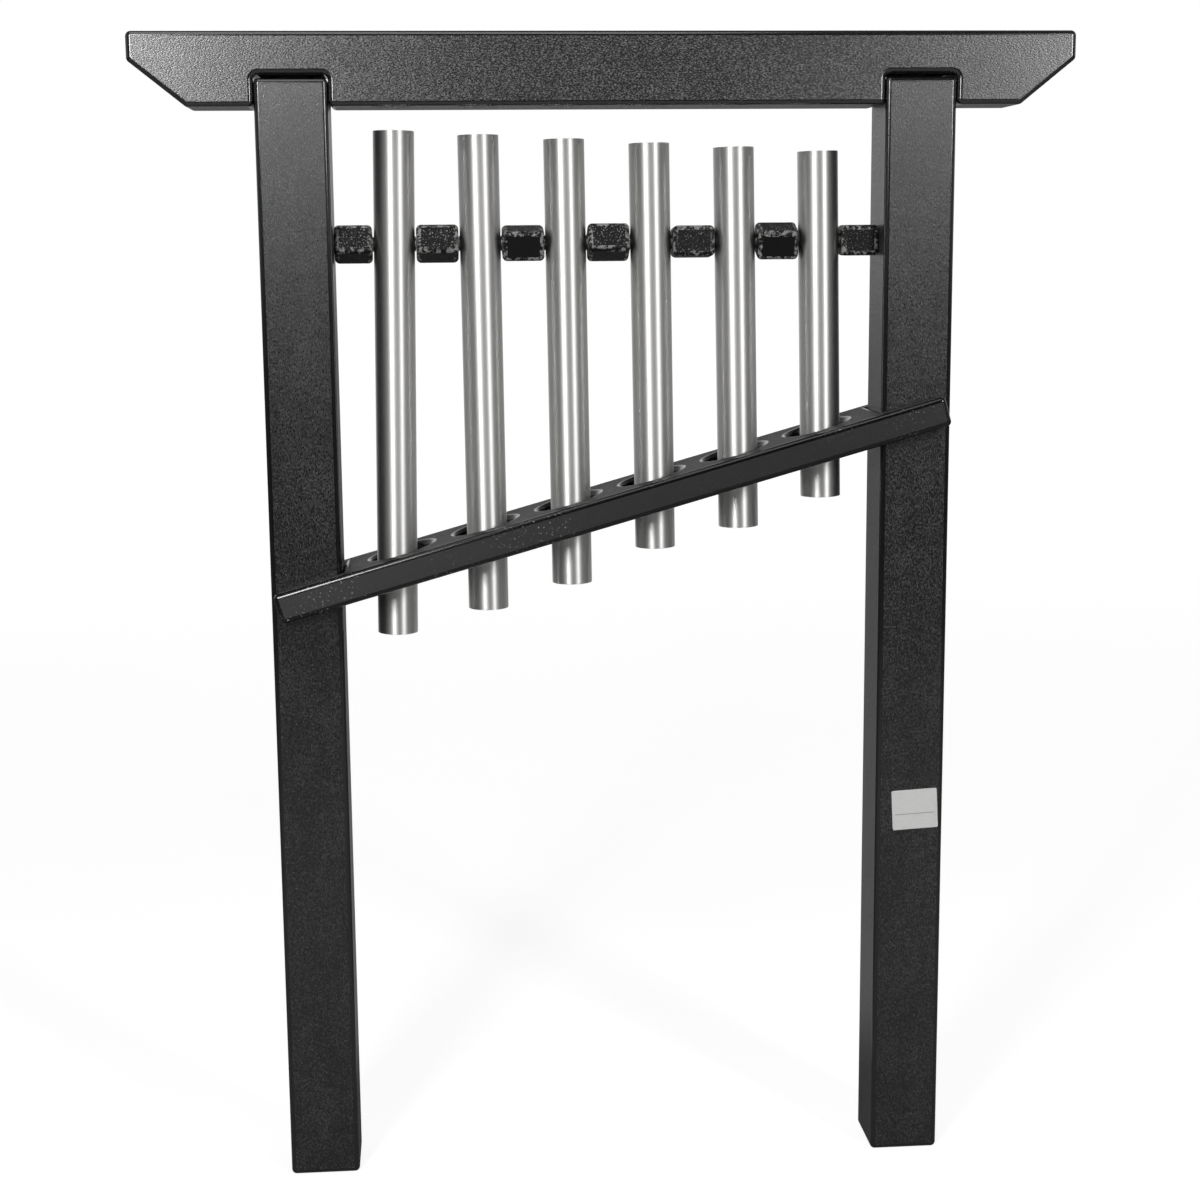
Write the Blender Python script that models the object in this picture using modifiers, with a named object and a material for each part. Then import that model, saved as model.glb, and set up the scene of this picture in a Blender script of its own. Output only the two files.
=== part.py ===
"""Playground chimes: six tuned tubes hanging on a rod in a plastic-lumber frame.

Two square posts carry a notched top beam and a sloping lower rail. A steel rod runs through
the posts, and six metal tubes hang on it with a loose square block on each side of every
tube. The tubes pass through bores in the rail, which keep them from swinging far.

Frame: metres, +Z up, the front faces -Y. X = 0 is midway between the posts, Y = 0 is the
plane of the rod, and Z = 0 is the underside of the posts.
"""

import math

import bmesh
import bpy
from mathutils import Matrix, Vector

# Lumber
LUMBER = 0.0889            # square section of the posts and of the top beam
EDGE_ROUND = 0.00635       # radius routed on every long edge
ROUND_STEPS = 3            # facets across a routed edge
FIT_GAP = 0.0003           # gap kept between pieces that touch

# Posts
POST_LENGTH = 1.4025       # from the underside to the end inside the beam's notch
POST_TOP_GAP = 0.0043      # shadow gap between that end and the notch's ceiling

# Top beam
NOTCH_DEPTH = 0.0381       # from the beam's underside up to the notch's ceiling
NOTCH_RADIUS = 0.0066      # corners of the notch, inside and at its mouth
BEAM_OVERHANG = 0.1492     # from a post's outer side to the beam's end
BEAM_END_HEIGHT = 0.0340   # upright part of the beam's end, above the cut-back
BEAM_CUT_BACK = 0.0685     # how far the sloping cut runs in under the end
BEAM_CORNER_RADIUS = 0.0066
CORNER_STEPS = 3           # facets round a corner of the outline

# Rod, blocks and tubes
ROD_DIAMETER = 0.0127
TUBE_DIAMETER = 0.0508
TUBE_WALL = 0.0032
TUBE_RIM = 0.0006          # small chamfer on the tubes' cut ends
TUBE_LENGTHS = (0.6263, 0.5917, 0.5556, 0.5064, 0.4763, 0.4337)
TUBE_TOP_GAP = 0.0272      # from the first tube's top to the beam's underside
FIRST_TUBE_RISE = 0.1372   # the first tube's top above the rod
RISE_STEP = 0.0054         # how much lower each next tube's top is
TUBE_LEANS = (0.88, -0.32, -0.51, -0.69, -0.94, -1.04)  # degrees, as each tube hangs
BLOCK_LENGTH = 0.0524      # along the rod, between two tubes
END_BLOCK_LENGTH = 0.0470  # along the rod, between a post and a tube
BLOCK_SIDE = 0.0381        # square section of the blocks
BLOCK_ROUND = 0.0060
BLOCK_TURNS = (-26.5, -26.0, 15.5, -25.5, -4.5, 22.0, 0.0)  # degrees about the rod
BLOCK_BORE_PLAY = 0.0004   # radial play of a block on the rod
END_PLAY = 0.00075         # between an end block and its post
SIDE_PLAY = 0.00035        # between a block and a bush's flange

# Bushes in the tubes' cross bores
BUSH_BORE_PLAY = 0.0003    # radial play on the rod
BUSH_WALL = 0.0012
BUSH_FLANGE_LIP = 0.0015   # how far the flange reaches past the body
BUSH_FLANGE = 0.0010       # thickness of the flange, outside the tube's wall
BUSH_INSIDE = 0.0020       # how far the body reaches past the wall's inner side

# Rod ends
ROD_WASHER_WIDTH = 0.0100  # from the washer's hole to its rim
ROD_WASHER_THICKNESS = 0.0026
NUT_WALL = 0.0030          # from the nut's bore to its flats
NUT_HEX_HEIGHT = 0.0110
NUT_ROD_DEPTH = 0.0120     # how far the rod stands into the nut
NUT_CROWN = 0.0025         # thickness of the dome over the rod's end
RECESS_CLEARANCE = 0.0025  # round the washer, in the post's outer side
RECESS_DEPTH = 0.0254

# Lower rail
RAIL_THICKNESS = 0.0381
RAIL_WIDTH = 0.1397        # front to back
RAIL_SLOPE = 15.57         # degrees, rising to the right
RAIL_DROP = 0.3093         # from the rod's axis to the rail's top face, at the centre
RAIL_END_INSET = 0.0080    # its ends stop short of the posts' outer sides
RAIL_BORE_CLEARANCE = 0.0127  # round a tube that hangs in the middle of its bore

# Fasteners
BOLT_DIAMETER = 0.0095
BOLT_ACROSS_FLATS = 0.0143
BOLT_HEAD = 0.0064
BOLT_INTO_POST = 0.0760
BOLT_SPACING = 0.0445      # between the two bolts of one post
BOLT_WASHER_WIDTH = 0.0060
BOLT_WASHER_THICKNESS = 0.0016
BOLT_POCKET_CLEARANCE = 0.0016
BOLT_POCKET_DEPTH = 0.0127
SCREW_DIAMETER = 0.0064
SCREW_HEAD_DIAMETER = 0.0160
SCREW_HEAD = 0.0050
SCREW_INTO_POST = 0.0500
SCREW_SPACING = 0.0340     # between the two screws of one post
SCREW_POCKET_CLEARANCE = 0.0015
SCREW_POCKET_DEPTH = 0.0080
POINT_LENGTH = 0.0080      # conical tips of bolts and screws

# Facets around round pieces
TUBE_STEPS = 32
RAIL_BORE_STEPS = 24
BORE_STEPS = 20
SMALL_STEPS = 12

# Places worked out from the sizes above
SIDES = ((-1, "left"), (1, "right"))
TUBE_COUNT = len(TUBE_LENGTHS)
TUBE_TO_BLOCK = FIT_GAP + BUSH_FLANGE + SIDE_PLAY
TUBE_PITCH = TUBE_DIAMETER + BLOCK_LENGTH + 2 * TUBE_TO_BLOCK
INNER_HALF = ((TUBE_COUNT - 1) * TUBE_PITCH / 2 + TUBE_DIAMETER / 2 + TUBE_TO_BLOCK
              + END_BLOCK_LENGTH + END_PLAY)
POST_X = INNER_HALF + LUMBER / 2
OUTER_HALF = INNER_HALF + LUMBER
BEAM_BOTTOM = POST_LENGTH + POST_TOP_GAP - NOTCH_DEPTH
BEAM_TOP = BEAM_BOTTOM + LUMBER
BEAM_HALF = OUTER_HALF + BEAM_OVERHANG
ROD_HEIGHT = BEAM_BOTTOM - TUBE_TOP_GAP - FIRST_TUBE_RISE
ROD_RADIUS = ROD_DIAMETER / 2
TUBE_RADIUS = TUBE_DIAMETER / 2
BUSH_BORE = ROD_RADIUS + BUSH_BORE_PLAY
BUSH_BODY = BUSH_BORE + BUSH_WALL
ROD_WASHER_RADIUS = ROD_RADIUS + FIT_GAP + ROD_WASHER_WIDTH
NUT_ACROSS_FLATS = 2 * (ROD_RADIUS + FIT_GAP + NUT_WALL)
BOLT_WASHER_RADIUS = BOLT_DIAMETER / 2 + FIT_GAP + BOLT_WASHER_WIDTH
RECESS_FLOOR = OUTER_HALF - RECESS_DEPTH
NUT_SEAT = RECESS_FLOOR + 2 * FIT_GAP + ROD_WASHER_THICKNESS
POCKET_FLOOR = BEAM_TOP - BOLT_POCKET_DEPTH
BOLT_SEAT = POCKET_FLOOR + 2 * FIT_GAP + BOLT_WASHER_THICKNESS
SCREW_SEAT = RAIL_WIDTH / 2 - SCREW_POCKET_DEPTH + FIT_GAP
SLOPE = math.radians(RAIL_SLOPE)
RAIL_LENGTH = 2 * (OUTER_HALF - RAIL_END_INSET) / math.cos(SLOPE)
RAIL_CENTRE_Z = ROD_HEIGHT - RAIL_DROP - RAIL_THICKNESS / 2 / math.cos(SLOPE)
RAIL_BORE_RADIUS = TUBE_RADIUS + RAIL_BORE_CLEARANCE


def clear_scene():
    """Remove what the opened file holds."""
    for obj in list(bpy.data.objects):
        bpy.data.objects.remove(obj, do_unlink=True)


def new_collection(name):
    """Make a collection in the scene and return it."""
    coll = bpy.data.collections.new(name)
    bpy.context.scene.collection.children.link(coll)
    return coll


def plain_material(name, colour, roughness, metallic):
    """Make a Principled material of one colour."""
    mat = bpy.data.materials.new(name)
    mat.use_nodes = True
    shader = mat.node_tree.nodes["Principled BSDF"]
    shader.inputs["Base Color"].default_value = (*colour, 1.0)
    shader.inputs["Roughness"].default_value = roughness
    shader.inputs["Metallic"].default_value = metallic
    return mat


def mesh_object(name, bm, coll):
    """Turn a bmesh into an object of a collection."""
    bmesh.ops.recalc_face_normals(bm, faces=bm.faces)
    mesh = bpy.data.meshes.new(name)
    bm.to_mesh(mesh)
    bm.free()
    obj = bpy.data.objects.new(name, mesh)
    coll.objects.link(obj)
    return obj


def box(name, coll, size, centre):
    """Make a box, its origin at its centre."""
    bm = bmesh.new()
    bmesh.ops.create_cube(bm, size=1.0)
    bmesh.ops.scale(bm, vec=Vector(size), verts=bm.verts)
    obj = mesh_object(name, bm, coll)
    obj.location = centre
    return obj


def cylinder(name, coll, radius, start, end, steps):
    """Make a cylinder from one point to another. With 6 steps it is a hexagon."""
    start, end = Vector(start), Vector(end)
    axis = end - start
    bm = bmesh.new()
    bmesh.ops.create_cone(bm, cap_ends=True, segments=steps, radius1=radius, radius2=radius,
                          depth=axis.length)
    obj = mesh_object(name, bm, coll)
    obj.rotation_mode = "QUATERNION"
    obj.rotation_quaternion = Vector((0.0, 0.0, 1.0)).rotation_difference(axis)
    obj.location = (start + end) / 2
    return obj


def turned(name, coll, profile, steps, closed=False):
    """Turn a profile of (radius, height) points about Z with a Screw modifier.

    The profile runs down the outer side, from the top to the bottom. A closed profile makes
    a ring, and an open one starts and ends on the axis.
    """
    bm = bmesh.new()
    verts = [bm.verts.new((radius, 0.0, height)) for radius, height in profile]
    for first, second in zip(verts, verts[1:]):
        bm.edges.new((first, second))
    if closed:
        bm.edges.new((verts[-1], verts[0]))
    mesh = bpy.data.meshes.new(name)
    bm.to_mesh(mesh)
    bm.free()
    obj = bpy.data.objects.new(name, mesh)
    coll.objects.link(obj)
    screw = obj.modifiers.new("turn", "SCREW")
    screw.steps = steps
    screw.render_steps = steps
    screw.use_merge_vertices = True
    screw.merge_threshold = 0.00001
    screw.use_smooth_shade = True
    return obj


def ring_profile(inner, outer, bottom, top, chamfer):
    """Closed profile of a ring with chamfered rims, down its outer side first."""
    return [(outer - chamfer, top), (outer, top - chamfer), (outer, bottom + chamfer),
            (outer - chamfer, bottom), (inner + chamfer, bottom), (inner, bottom + chamfer),
            (inner, top - chamfer), (inner + chamfer, top)]


def round_edges(obj, radius, angle=60.0):
    """Round every edge sharper than the angle."""
    bevel = obj.modifiers.new("round edges", "BEVEL")
    bevel.width = radius
    bevel.segments = ROUND_STEPS
    bevel.limit_method = "ANGLE"
    bevel.angle_limit = math.radians(angle)
    bevel.use_clamp_overlap = False


def combine(obj, other, operation="DIFFERENCE"):
    """Cut another object out of this one, or join the two."""
    boolean = obj.modifiers.new(operation.lower(), "BOOLEAN")
    boolean.object = other
    boolean.operation = operation
    boolean.solver = "EXACT"


def shade(mesh, angle=35.0):
    """Shade a mesh smooth, with its sharp edges kept."""
    mesh.shade_smooth()
    mesh.set_sharp_from_angle(angle=math.radians(angle))


def finished_mesh(name, obj):
    """Copy an object's evaluated mesh, so that several objects can share it."""
    bpy.context.view_layer.update()
    evaluated = obj.evaluated_get(bpy.context.evaluated_depsgraph_get())
    mesh = bpy.data.meshes.new_from_object(evaluated)
    mesh.transform(evaluated.matrix_world)
    mesh.name = name
    shade(mesh)
    return mesh


def placed(name, coll, mesh, place, mat):
    """Make an object of a shared mesh at the place that a matrix gives."""
    obj = bpy.data.objects.new(name, mesh)
    obj.matrix_world = place
    coll.objects.link(obj)
    dress(obj, mat)
    return obj


def dress(obj, mat):
    """Give an object its one material."""
    obj.data.materials.clear()
    obj.data.materials.append(mat)


def rounded_outline(corners):
    """Outline of (x, z) points in which an arc stands for each corner (x, z, radius).

    The arc touches both sides of its corner, so its centre lies on the corner's bisector,
    radius / sin(half angle) from the corner.
    """
    points = []
    count = len(corners)
    for index, (x, z, radius) in enumerate(corners):
        here = Vector((x, z))
        to_last = (Vector(corners[index - 1][:2]) - here).normalized()
        to_next = (Vector(corners[(index + 1) % count][:2]) - here).normalized()
        half = to_last.angle(to_next) / 2
        centre = here + (to_last + to_next).normalized() * radius / math.sin(half)
        first = here + to_last * radius / math.tan(half) - centre
        last = here + to_next * radius / math.tan(half) - centre
        sweep = first.angle_signed(last)
        for step in range(CORNER_STEPS + 1):
            points.append(centre + Matrix.Rotation(-sweep * step / CORNER_STEPS, 2) @ first)
    return points


def half_beam_corners(side):
    """Corners of the beam's outline on one side, from its top to its middle underneath."""
    notch_out = OUTER_HALF + FIT_GAP
    notch_in = INNER_HALF - FIT_GAP
    ceiling = BEAM_BOTTOM + NOTCH_DEPTH
    return [
        (side * BEAM_HALF, BEAM_TOP, BEAM_CORNER_RADIUS),
        (side * BEAM_HALF, BEAM_TOP - BEAM_END_HEIGHT, BEAM_CORNER_RADIUS),
        (side * (BEAM_HALF - BEAM_CUT_BACK), BEAM_BOTTOM, BEAM_CORNER_RADIUS),
        (side * notch_out, BEAM_BOTTOM, NOTCH_RADIUS),
        (side * notch_out, ceiling, NOTCH_RADIUS),
        (side * notch_in, ceiling, NOTCH_RADIUS),
        (side * notch_in, BEAM_BOTTOM, NOTCH_RADIUS),
    ]


def bolt_places(side):
    """X positions of the two bolts over one post."""
    return [side * POST_X + offset * BOLT_SPACING / 2 for offset in (-1, 1)]


def screw_places(side):
    """(x, z) positions of the two screws in the rail's back prong at one post."""
    middle = side * (INNER_HALF + OUTER_HALF - RAIL_END_INSET) / 2
    xs = [middle + offset * SCREW_SPACING / 2 for offset in (-1, 1)]
    return [(x, RAIL_CENTRE_Z + x * math.tan(SLOPE)) for x in xs]


def tube_x(index):
    """X position of a tube on the rod, and of its bore in the rail."""
    return (index - (TUBE_COUNT - 1) / 2) * TUBE_PITCH


def block_place(index):
    """(x, length) of a spacer block."""
    end_x = INNER_HALF - END_PLAY - END_BLOCK_LENGTH / 2
    if index == 0:
        return -end_x, END_BLOCK_LENGTH
    if index == TUBE_COUNT:
        return end_x, END_BLOCK_LENGTH
    return (index - TUBE_COUNT / 2) * TUBE_PITCH, BLOCK_LENGTH


def cut_bolt_holes(coll, side, label, post, beam):
    """Cut the bolts' pockets and bores out of the beam and the post."""
    for number, x in enumerate(bolt_places(side), 1):
        pocket = cylinder(f"bolt_pocket_{label}_{number}", coll,
                          BOLT_WASHER_RADIUS + BOLT_POCKET_CLEARANCE,
                          (x, 0, POCKET_FLOOR), (x, 0, BEAM_TOP + LUMBER / 4), BORE_STEPS)
        bore = cylinder(f"bolt_bore_{label}_{number}", coll, BOLT_DIAMETER / 2 + FIT_GAP,
                        (x, 0, POST_LENGTH - BOLT_INTO_POST - FIT_GAP), (x, 0, BEAM_TOP),
                        SMALL_STEPS)
        combine(beam, pocket)
        combine(beam, bore)
        combine(post, bore)


def cut_screw_holes(coll, side, label, post, rail):
    """Cut the screws' pockets and bores out of the rail's back prong and the post."""
    back = RAIL_WIDTH / 2
    pocket_radius = SCREW_HEAD_DIAMETER / 2 + SCREW_POCKET_CLEARANCE
    for number, (x, z) in enumerate(screw_places(side), 1):
        pocket = cylinder(f"screw_pocket_{label}_{number}", coll, pocket_radius,
                          (x, back - SCREW_POCKET_DEPTH, z), (x, back + LUMBER / 4, z),
                          BORE_STEPS)
        bore = cylinder(f"screw_bore_{label}_{number}", coll, SCREW_DIAMETER / 2 + FIT_GAP,
                        (x, LUMBER / 2 - SCREW_INTO_POST - FIT_GAP, z), (x, back, z),
                        SMALL_STEPS)
        combine(rail, pocket)
        combine(rail, bore)
        combine(post, bore)


def cut_rod_holes(coll, side, label, post):
    """Cut the rod's bore through a post, and the recess for its washer and nut."""
    bore = cylinder(f"rod_bore_{label}", coll, ROD_RADIUS + FIT_GAP,
                    (side * (INNER_HALF - LUMBER / 4), 0, ROD_HEIGHT),
                    (side * (OUTER_HALF + LUMBER / 4), 0, ROD_HEIGHT), BORE_STEPS)
    recess = cylinder(f"rod_recess_{label}", coll, ROD_WASHER_RADIUS + RECESS_CLEARANCE,
                      (side * RECESS_FLOOR, 0, ROD_HEIGHT),
                      (side * (OUTER_HALF + LUMBER / 4), 0, ROD_HEIGHT), BORE_STEPS)
    combine(post, bore)
    combine(post, recess)


def cut_fork(coll, side, label, rail):
    """Cut the slot in the rail's end that takes a post."""
    slot_in = INNER_HALF - FIT_GAP
    slot_out = OUTER_HALF + LUMBER
    height = RAIL_CENTRE_Z + side * POST_X * math.tan(SLOPE)
    slot = box(f"fork_{label}", coll, (slot_out - slot_in, LUMBER + 2 * FIT_GAP, 4 * LUMBER),
               (side * (slot_in + slot_out) / 2, 0, height))
    combine(rail, slot)


def cut_rail_bore(coll, index, rail):
    """Cut a plumb bore for a tube through the sloping rail."""
    x = tube_x(index)
    height = RAIL_CENTRE_Z + x * math.tan(SLOPE)
    bore = cylinder(f"rail_bore_{index + 1}", coll, RAIL_BORE_RADIUS,
                    (x, 0, height - 2 * RAIL_THICKNESS), (x, 0, height + 2 * RAIL_THICKNESS),
                    RAIL_BORE_STEPS)
    combine(rail, bore)


def make_post(label, side, coll):
    """Make one post of rounded lumber, not yet drilled."""
    post = box(f"{label}_post", coll, (LUMBER, LUMBER, POST_LENGTH),
               (side * POST_X, 0, POST_LENGTH / 2))
    round_edges(post, EDGE_ROUND)
    return post


def make_beam(coll):
    """Make the top beam: a notched outline as deep as the lumber, with its edges routed."""
    corners = half_beam_corners(1) + list(reversed(half_beam_corners(-1)))
    bm = bmesh.new()
    face = bm.faces.new([bm.verts.new((x, -LUMBER / 2, z)) for x, z in rounded_outline(corners)])
    grown = bmesh.ops.extrude_face_region(bm, geom=[face])
    moved = [item for item in grown["geom"] if isinstance(item, bmesh.types.BMVert)]
    bmesh.ops.translate(bm, vec=(0, LUMBER, 0), verts=moved)
    beam = mesh_object("top_beam", bm, coll)
    round_edges(beam, EDGE_ROUND)
    return beam


def make_rail(coll):
    """Make the sloping rail: a plain board, not yet forked, bored or rounded."""
    rail = box("lower_rail", coll, (RAIL_LENGTH, RAIL_WIDTH, RAIL_THICKNESS),
               (0, 0, RAIL_CENTRE_Z))
    rail.rotation_euler = (0.0, -SLOPE, 0.0)
    return rail


def make_rod(coll):
    """Make the rod, its ends inside the two nuts."""
    half = NUT_SEAT + NUT_ROD_DEPTH
    return cylinder("support_rod", coll, ROD_RADIUS, (-half, 0, ROD_HEIGHT),
                    (half, 0, ROD_HEIGHT), BORE_STEPS)


def make_hinge(index, coll):
    """Make the empty that a tube and its bushes swing with, on the rod's axis."""
    hinge = bpy.data.objects.new(f"tube_hinge_{index + 1}", None)
    hinge.location = (tube_x(index), 0.0, ROD_HEIGHT)
    hinge.empty_display_size = TUBE_DIAMETER
    coll.objects.link(hinge)
    return hinge


def make_tube(index, coll, cutter_coll, hinge):
    """Make one tube, its origin on the rod's axis, with a cross bore for its bushes."""
    top = FIRST_TUBE_RISE - index * RISE_STEP
    profile = ring_profile(TUBE_RADIUS - TUBE_WALL, TUBE_RADIUS, top - TUBE_LENGTHS[index],
                           top, TUBE_RIM)
    tube = turned(f"chime_tube_{index + 1}", coll, profile, TUBE_STEPS, closed=True)
    tube.rotation_euler = (0.0, math.radians(TUBE_LEANS[index]), 0.0)
    tube.parent = hinge
    cross = cylinder(f"cross_bore_{index + 1}", cutter_coll, BUSH_BODY + FIT_GAP,
                     (-TUBE_DIAMETER, 0, 0), (TUBE_DIAMETER, 0, 0), BORE_STEPS)
    cross.parent = hinge
    combine(tube, cross)
    return tube


def bush_mesh(coll):
    """Make a flanged bush along Z, the tube's axis at the origin and the flange outermost."""
    flange = BUSH_BODY + BUSH_FLANGE_LIP
    seat = TUBE_RADIUS + FIT_GAP
    outer_end = seat + BUSH_FLANGE
    inner_end = TUBE_RADIUS - TUBE_WALL - BUSH_INSIDE
    edge = BUSH_FLANGE / 3
    profile = [(flange - edge, outer_end), (flange, outer_end - edge), (flange, seat),
               (BUSH_BODY, seat), (BUSH_BODY, inner_end), (BUSH_BORE, inner_end),
               (BUSH_BORE, outer_end)]
    return finished_mesh("tube_grommet",
                         turned("bush_template", coll, profile, SMALL_STEPS, closed=True))


def make_bushes(index, coll, mesh, mat, hinge):
    """Place a tube's two bushes, one in each side of the tube."""
    for side, label in SIDES:
        bush = placed(f"tube_grommet_{index + 1}_{label}", coll, mesh,
                      Matrix.Rotation(side * math.pi / 2, 4, "Y"), mat)
        bush.parent = hinge


def make_block(index, coll, bore):
    """Make one spacer block, its origin on the rod's axis, turned as it hangs."""
    x, length = block_place(index)
    block = box(f"spacer_block_{index + 1}", coll, (length, BLOCK_SIDE, BLOCK_SIDE),
                (x, 0, ROD_HEIGHT))
    block.rotation_euler = (math.radians(BLOCK_TURNS[index]), 0.0, 0.0)
    round_edges(block, BLOCK_ROUND)
    combine(block, bore)
    return block


def washer_mesh(name, coll, inner, outer, thickness):
    """Make a flat washer that stands on Z = 0."""
    edge = thickness / 6
    profile = [(outer - edge, thickness), (outer, thickness - edge), (outer, 0.0), (inner, 0.0),
               (inner, thickness)]
    return finished_mesh(name, turned(f"{name}_template", coll, profile, BORE_STEPS, closed=True))


def cap_nut_mesh(coll):
    """Make a closed nut that stands on Z = 0: a hexagon, a dome and a blind bore."""
    hexagon = cylinder("cap_nut_template", coll, NUT_ACROSS_FLATS / math.sqrt(3), (0, 0, 0),
                       (0, 0, NUT_HEX_HEIGHT), 6)
    radius = NUT_ACROSS_FLATS / 2 * 0.94
    rise = NUT_ROD_DEPTH + FIT_GAP + NUT_CROWN - NUT_HEX_HEIGHT
    quarter = [math.pi / 2 * step / 5 for step in range(6)]
    profile = [(radius * math.sin(turn), NUT_HEX_HEIGHT + rise * math.cos(turn))
               for turn in quarter]
    profile += [(radius, NUT_HEX_HEIGHT / 2), (0.0, NUT_HEX_HEIGHT / 2)]
    dome = turned("cap_nut_dome", coll, profile, BORE_STEPS)
    hole = cylinder("cap_nut_bore", coll, ROD_RADIUS + FIT_GAP, (0, 0, -NUT_HEX_HEIGHT),
                    (0, 0, NUT_ROD_DEPTH + FIT_GAP), BORE_STEPS)
    combine(hexagon, dome, "UNION")
    combine(hexagon, hole)
    return finished_mesh("rod_cap_nut", hexagon)


def bolt_mesh(coll):
    """Make a hexagon-headed bolt whose head stands on Z = 0, its shank pointing down."""
    radius = BOLT_DIAMETER / 2
    tip = POST_LENGTH - BOLT_INTO_POST - BOLT_SEAT
    head = cylinder("bolt_template", coll, BOLT_ACROSS_FLATS / math.sqrt(3), (0, 0, 0),
                    (0, 0, BOLT_HEAD), 6)
    shank = turned("bolt_shank", coll,
                   [(0.0, BOLT_HEAD / 2), (radius, BOLT_HEAD / 2), (radius, tip + POINT_LENGTH),
                    (0.0, tip)], SMALL_STEPS)
    combine(head, shank, "UNION")
    return finished_mesh("beam_lag_bolt", head)


def screw_mesh(coll):
    """Make a pan-headed screw whose head stands on Z = 0, its shank pointing down."""
    radius = SCREW_DIAMETER / 2
    head = SCREW_HEAD_DIAMETER / 2
    tip = LUMBER / 2 - SCREW_INTO_POST - SCREW_SEAT
    profile = [(0.0, SCREW_HEAD), (head / 2, SCREW_HEAD), (head, SCREW_HEAD / 2), (head, 0.0),
               (radius, 0.0), (radius, tip + POINT_LENGTH), (0.0, tip)]
    return finished_mesh("rail_screw", turned("screw_template", coll, profile, SMALL_STEPS))


def make_rod_ends(coll, spare, mat):
    """Place the washer and the closed nut at each end of the rod."""
    washer = washer_mesh("rod_washer", spare, ROD_RADIUS + FIT_GAP, ROD_WASHER_RADIUS,
                         ROD_WASHER_THICKNESS)
    nut = cap_nut_mesh(spare)
    for side, label in SIDES:
        outwards = Matrix.Rotation(side * math.pi / 2, 4, "Y")
        washer_seat = Vector((side * (RECESS_FLOOR + FIT_GAP), 0, ROD_HEIGHT))
        nut_seat = Vector((side * NUT_SEAT, 0, ROD_HEIGHT))
        placed(f"rod_washer_{label}", coll, washer, Matrix.Translation(washer_seat) @ outwards,
               mat)
        placed(f"rod_cap_nut_{label}", coll, nut, Matrix.Translation(nut_seat) @ outwards, mat)


def make_fasteners(coll, spare, mat):
    """Place the beam's bolts and washers and the rail's screws."""
    bolt = bolt_mesh(spare)
    washer = washer_mesh("beam_bolt_washer", spare, BOLT_DIAMETER / 2 + FIT_GAP,
                         BOLT_WASHER_RADIUS, BOLT_WASHER_THICKNESS)
    screw = screw_mesh(spare)
    backwards = Matrix.Rotation(-math.pi / 2, 4, "X")
    for side, label in SIDES:
        for number, x in enumerate(bolt_places(side), 1):
            placed(f"beam_lag_bolt_{label}_{number}", coll, bolt,
                   Matrix.Translation((x, 0, BOLT_SEAT)), mat)
            placed(f"beam_bolt_washer_{label}_{number}", coll, washer,
                   Matrix.Translation((x, 0, POCKET_FLOOR + FIT_GAP)), mat)
        for number, (x, z) in enumerate(screw_places(side), 1):
            placed(f"rail_screw_{label}_{number}", coll, screw,
                   Matrix.Translation((x, SCREW_SEAT, z)) @ backwards, mat)


def main():
    """Build the chimes."""
    clear_scene()
    parts = new_collection("playground_chimes")
    cutters = new_collection("cutters")
    lumber = plain_material("black_plastic_lumber", (0.028, 0.028, 0.028), 0.55, 0.0)
    moulded = plain_material("black_block_plastic", (0.018, 0.018, 0.018), 0.45, 0.0)
    aluminium = plain_material("satin_aluminium", (0.72, 0.73, 0.72), 0.28, 1.0)
    steel = plain_material("stainless_steel", (0.55, 0.55, 0.54), 0.30, 1.0)
    rubber = plain_material("black_rubber", (0.02, 0.02, 0.02), 0.7, 0.0)

    beam = make_beam(parts)
    rail = make_rail(parts)
    for side, label in SIDES:
        cut_fork(cutters, side, label, rail)
    for index in range(TUBE_COUNT):
        cut_rail_bore(cutters, index, rail)
    round_edges(rail, EDGE_ROUND)
    lumber_pieces = [beam, rail]
    for side, label in SIDES:
        post = make_post(label, side, parts)
        cut_rod_holes(cutters, side, label, post)
        cut_bolt_holes(cutters, side, label, post, beam)
        cut_screw_holes(cutters, side, label, post, rail)
        lumber_pieces.append(post)
    for piece in lumber_pieces:
        shade(piece.data)
        dress(piece, lumber)

    rod = make_rod(parts)
    shade(rod.data)
    dress(rod, steel)

    bush = bush_mesh(cutters)
    for index in range(TUBE_COUNT):
        hinge = make_hinge(index, parts)
        dress(make_tube(index, parts, cutters, hinge), aluminium)
        make_bushes(index, parts, bush, rubber, hinge)

    block_bore = cylinder("block_bore", cutters, ROD_RADIUS + BLOCK_BORE_PLAY,
                          (-INNER_HALF, 0, ROD_HEIGHT), (INNER_HALF, 0, ROD_HEIGHT), BORE_STEPS)
    for index in range(TUBE_COUNT + 1):
        block = make_block(index, parts, block_bore)
        shade(block.data)
        dress(block, moulded)

    make_rod_ends(parts, cutters, steel)
    make_fasteners(parts, cutters, steel)

    for cutter in cutters.objects:
        cutter.hide_render = True
        cutter.display_type = "WIRE"


main()
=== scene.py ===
"""Playground chimes: the finished look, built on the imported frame.

Six satin aluminium tubes hang on a steel rod between loose square blocks, in a frame of black
plastic lumber whose edges are routed round. Every visible piece is a surface worked out as
arrays, in metres, in the frame's own axes: +Z up, the front towards -Y.
"""

from __future__ import annotations

import logging
import math
from dataclasses import dataclass, field
from enum import Enum, IntEnum

import bmesh
import bpy
import numpy as np
from mathutils import Matrix, Vector

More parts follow.
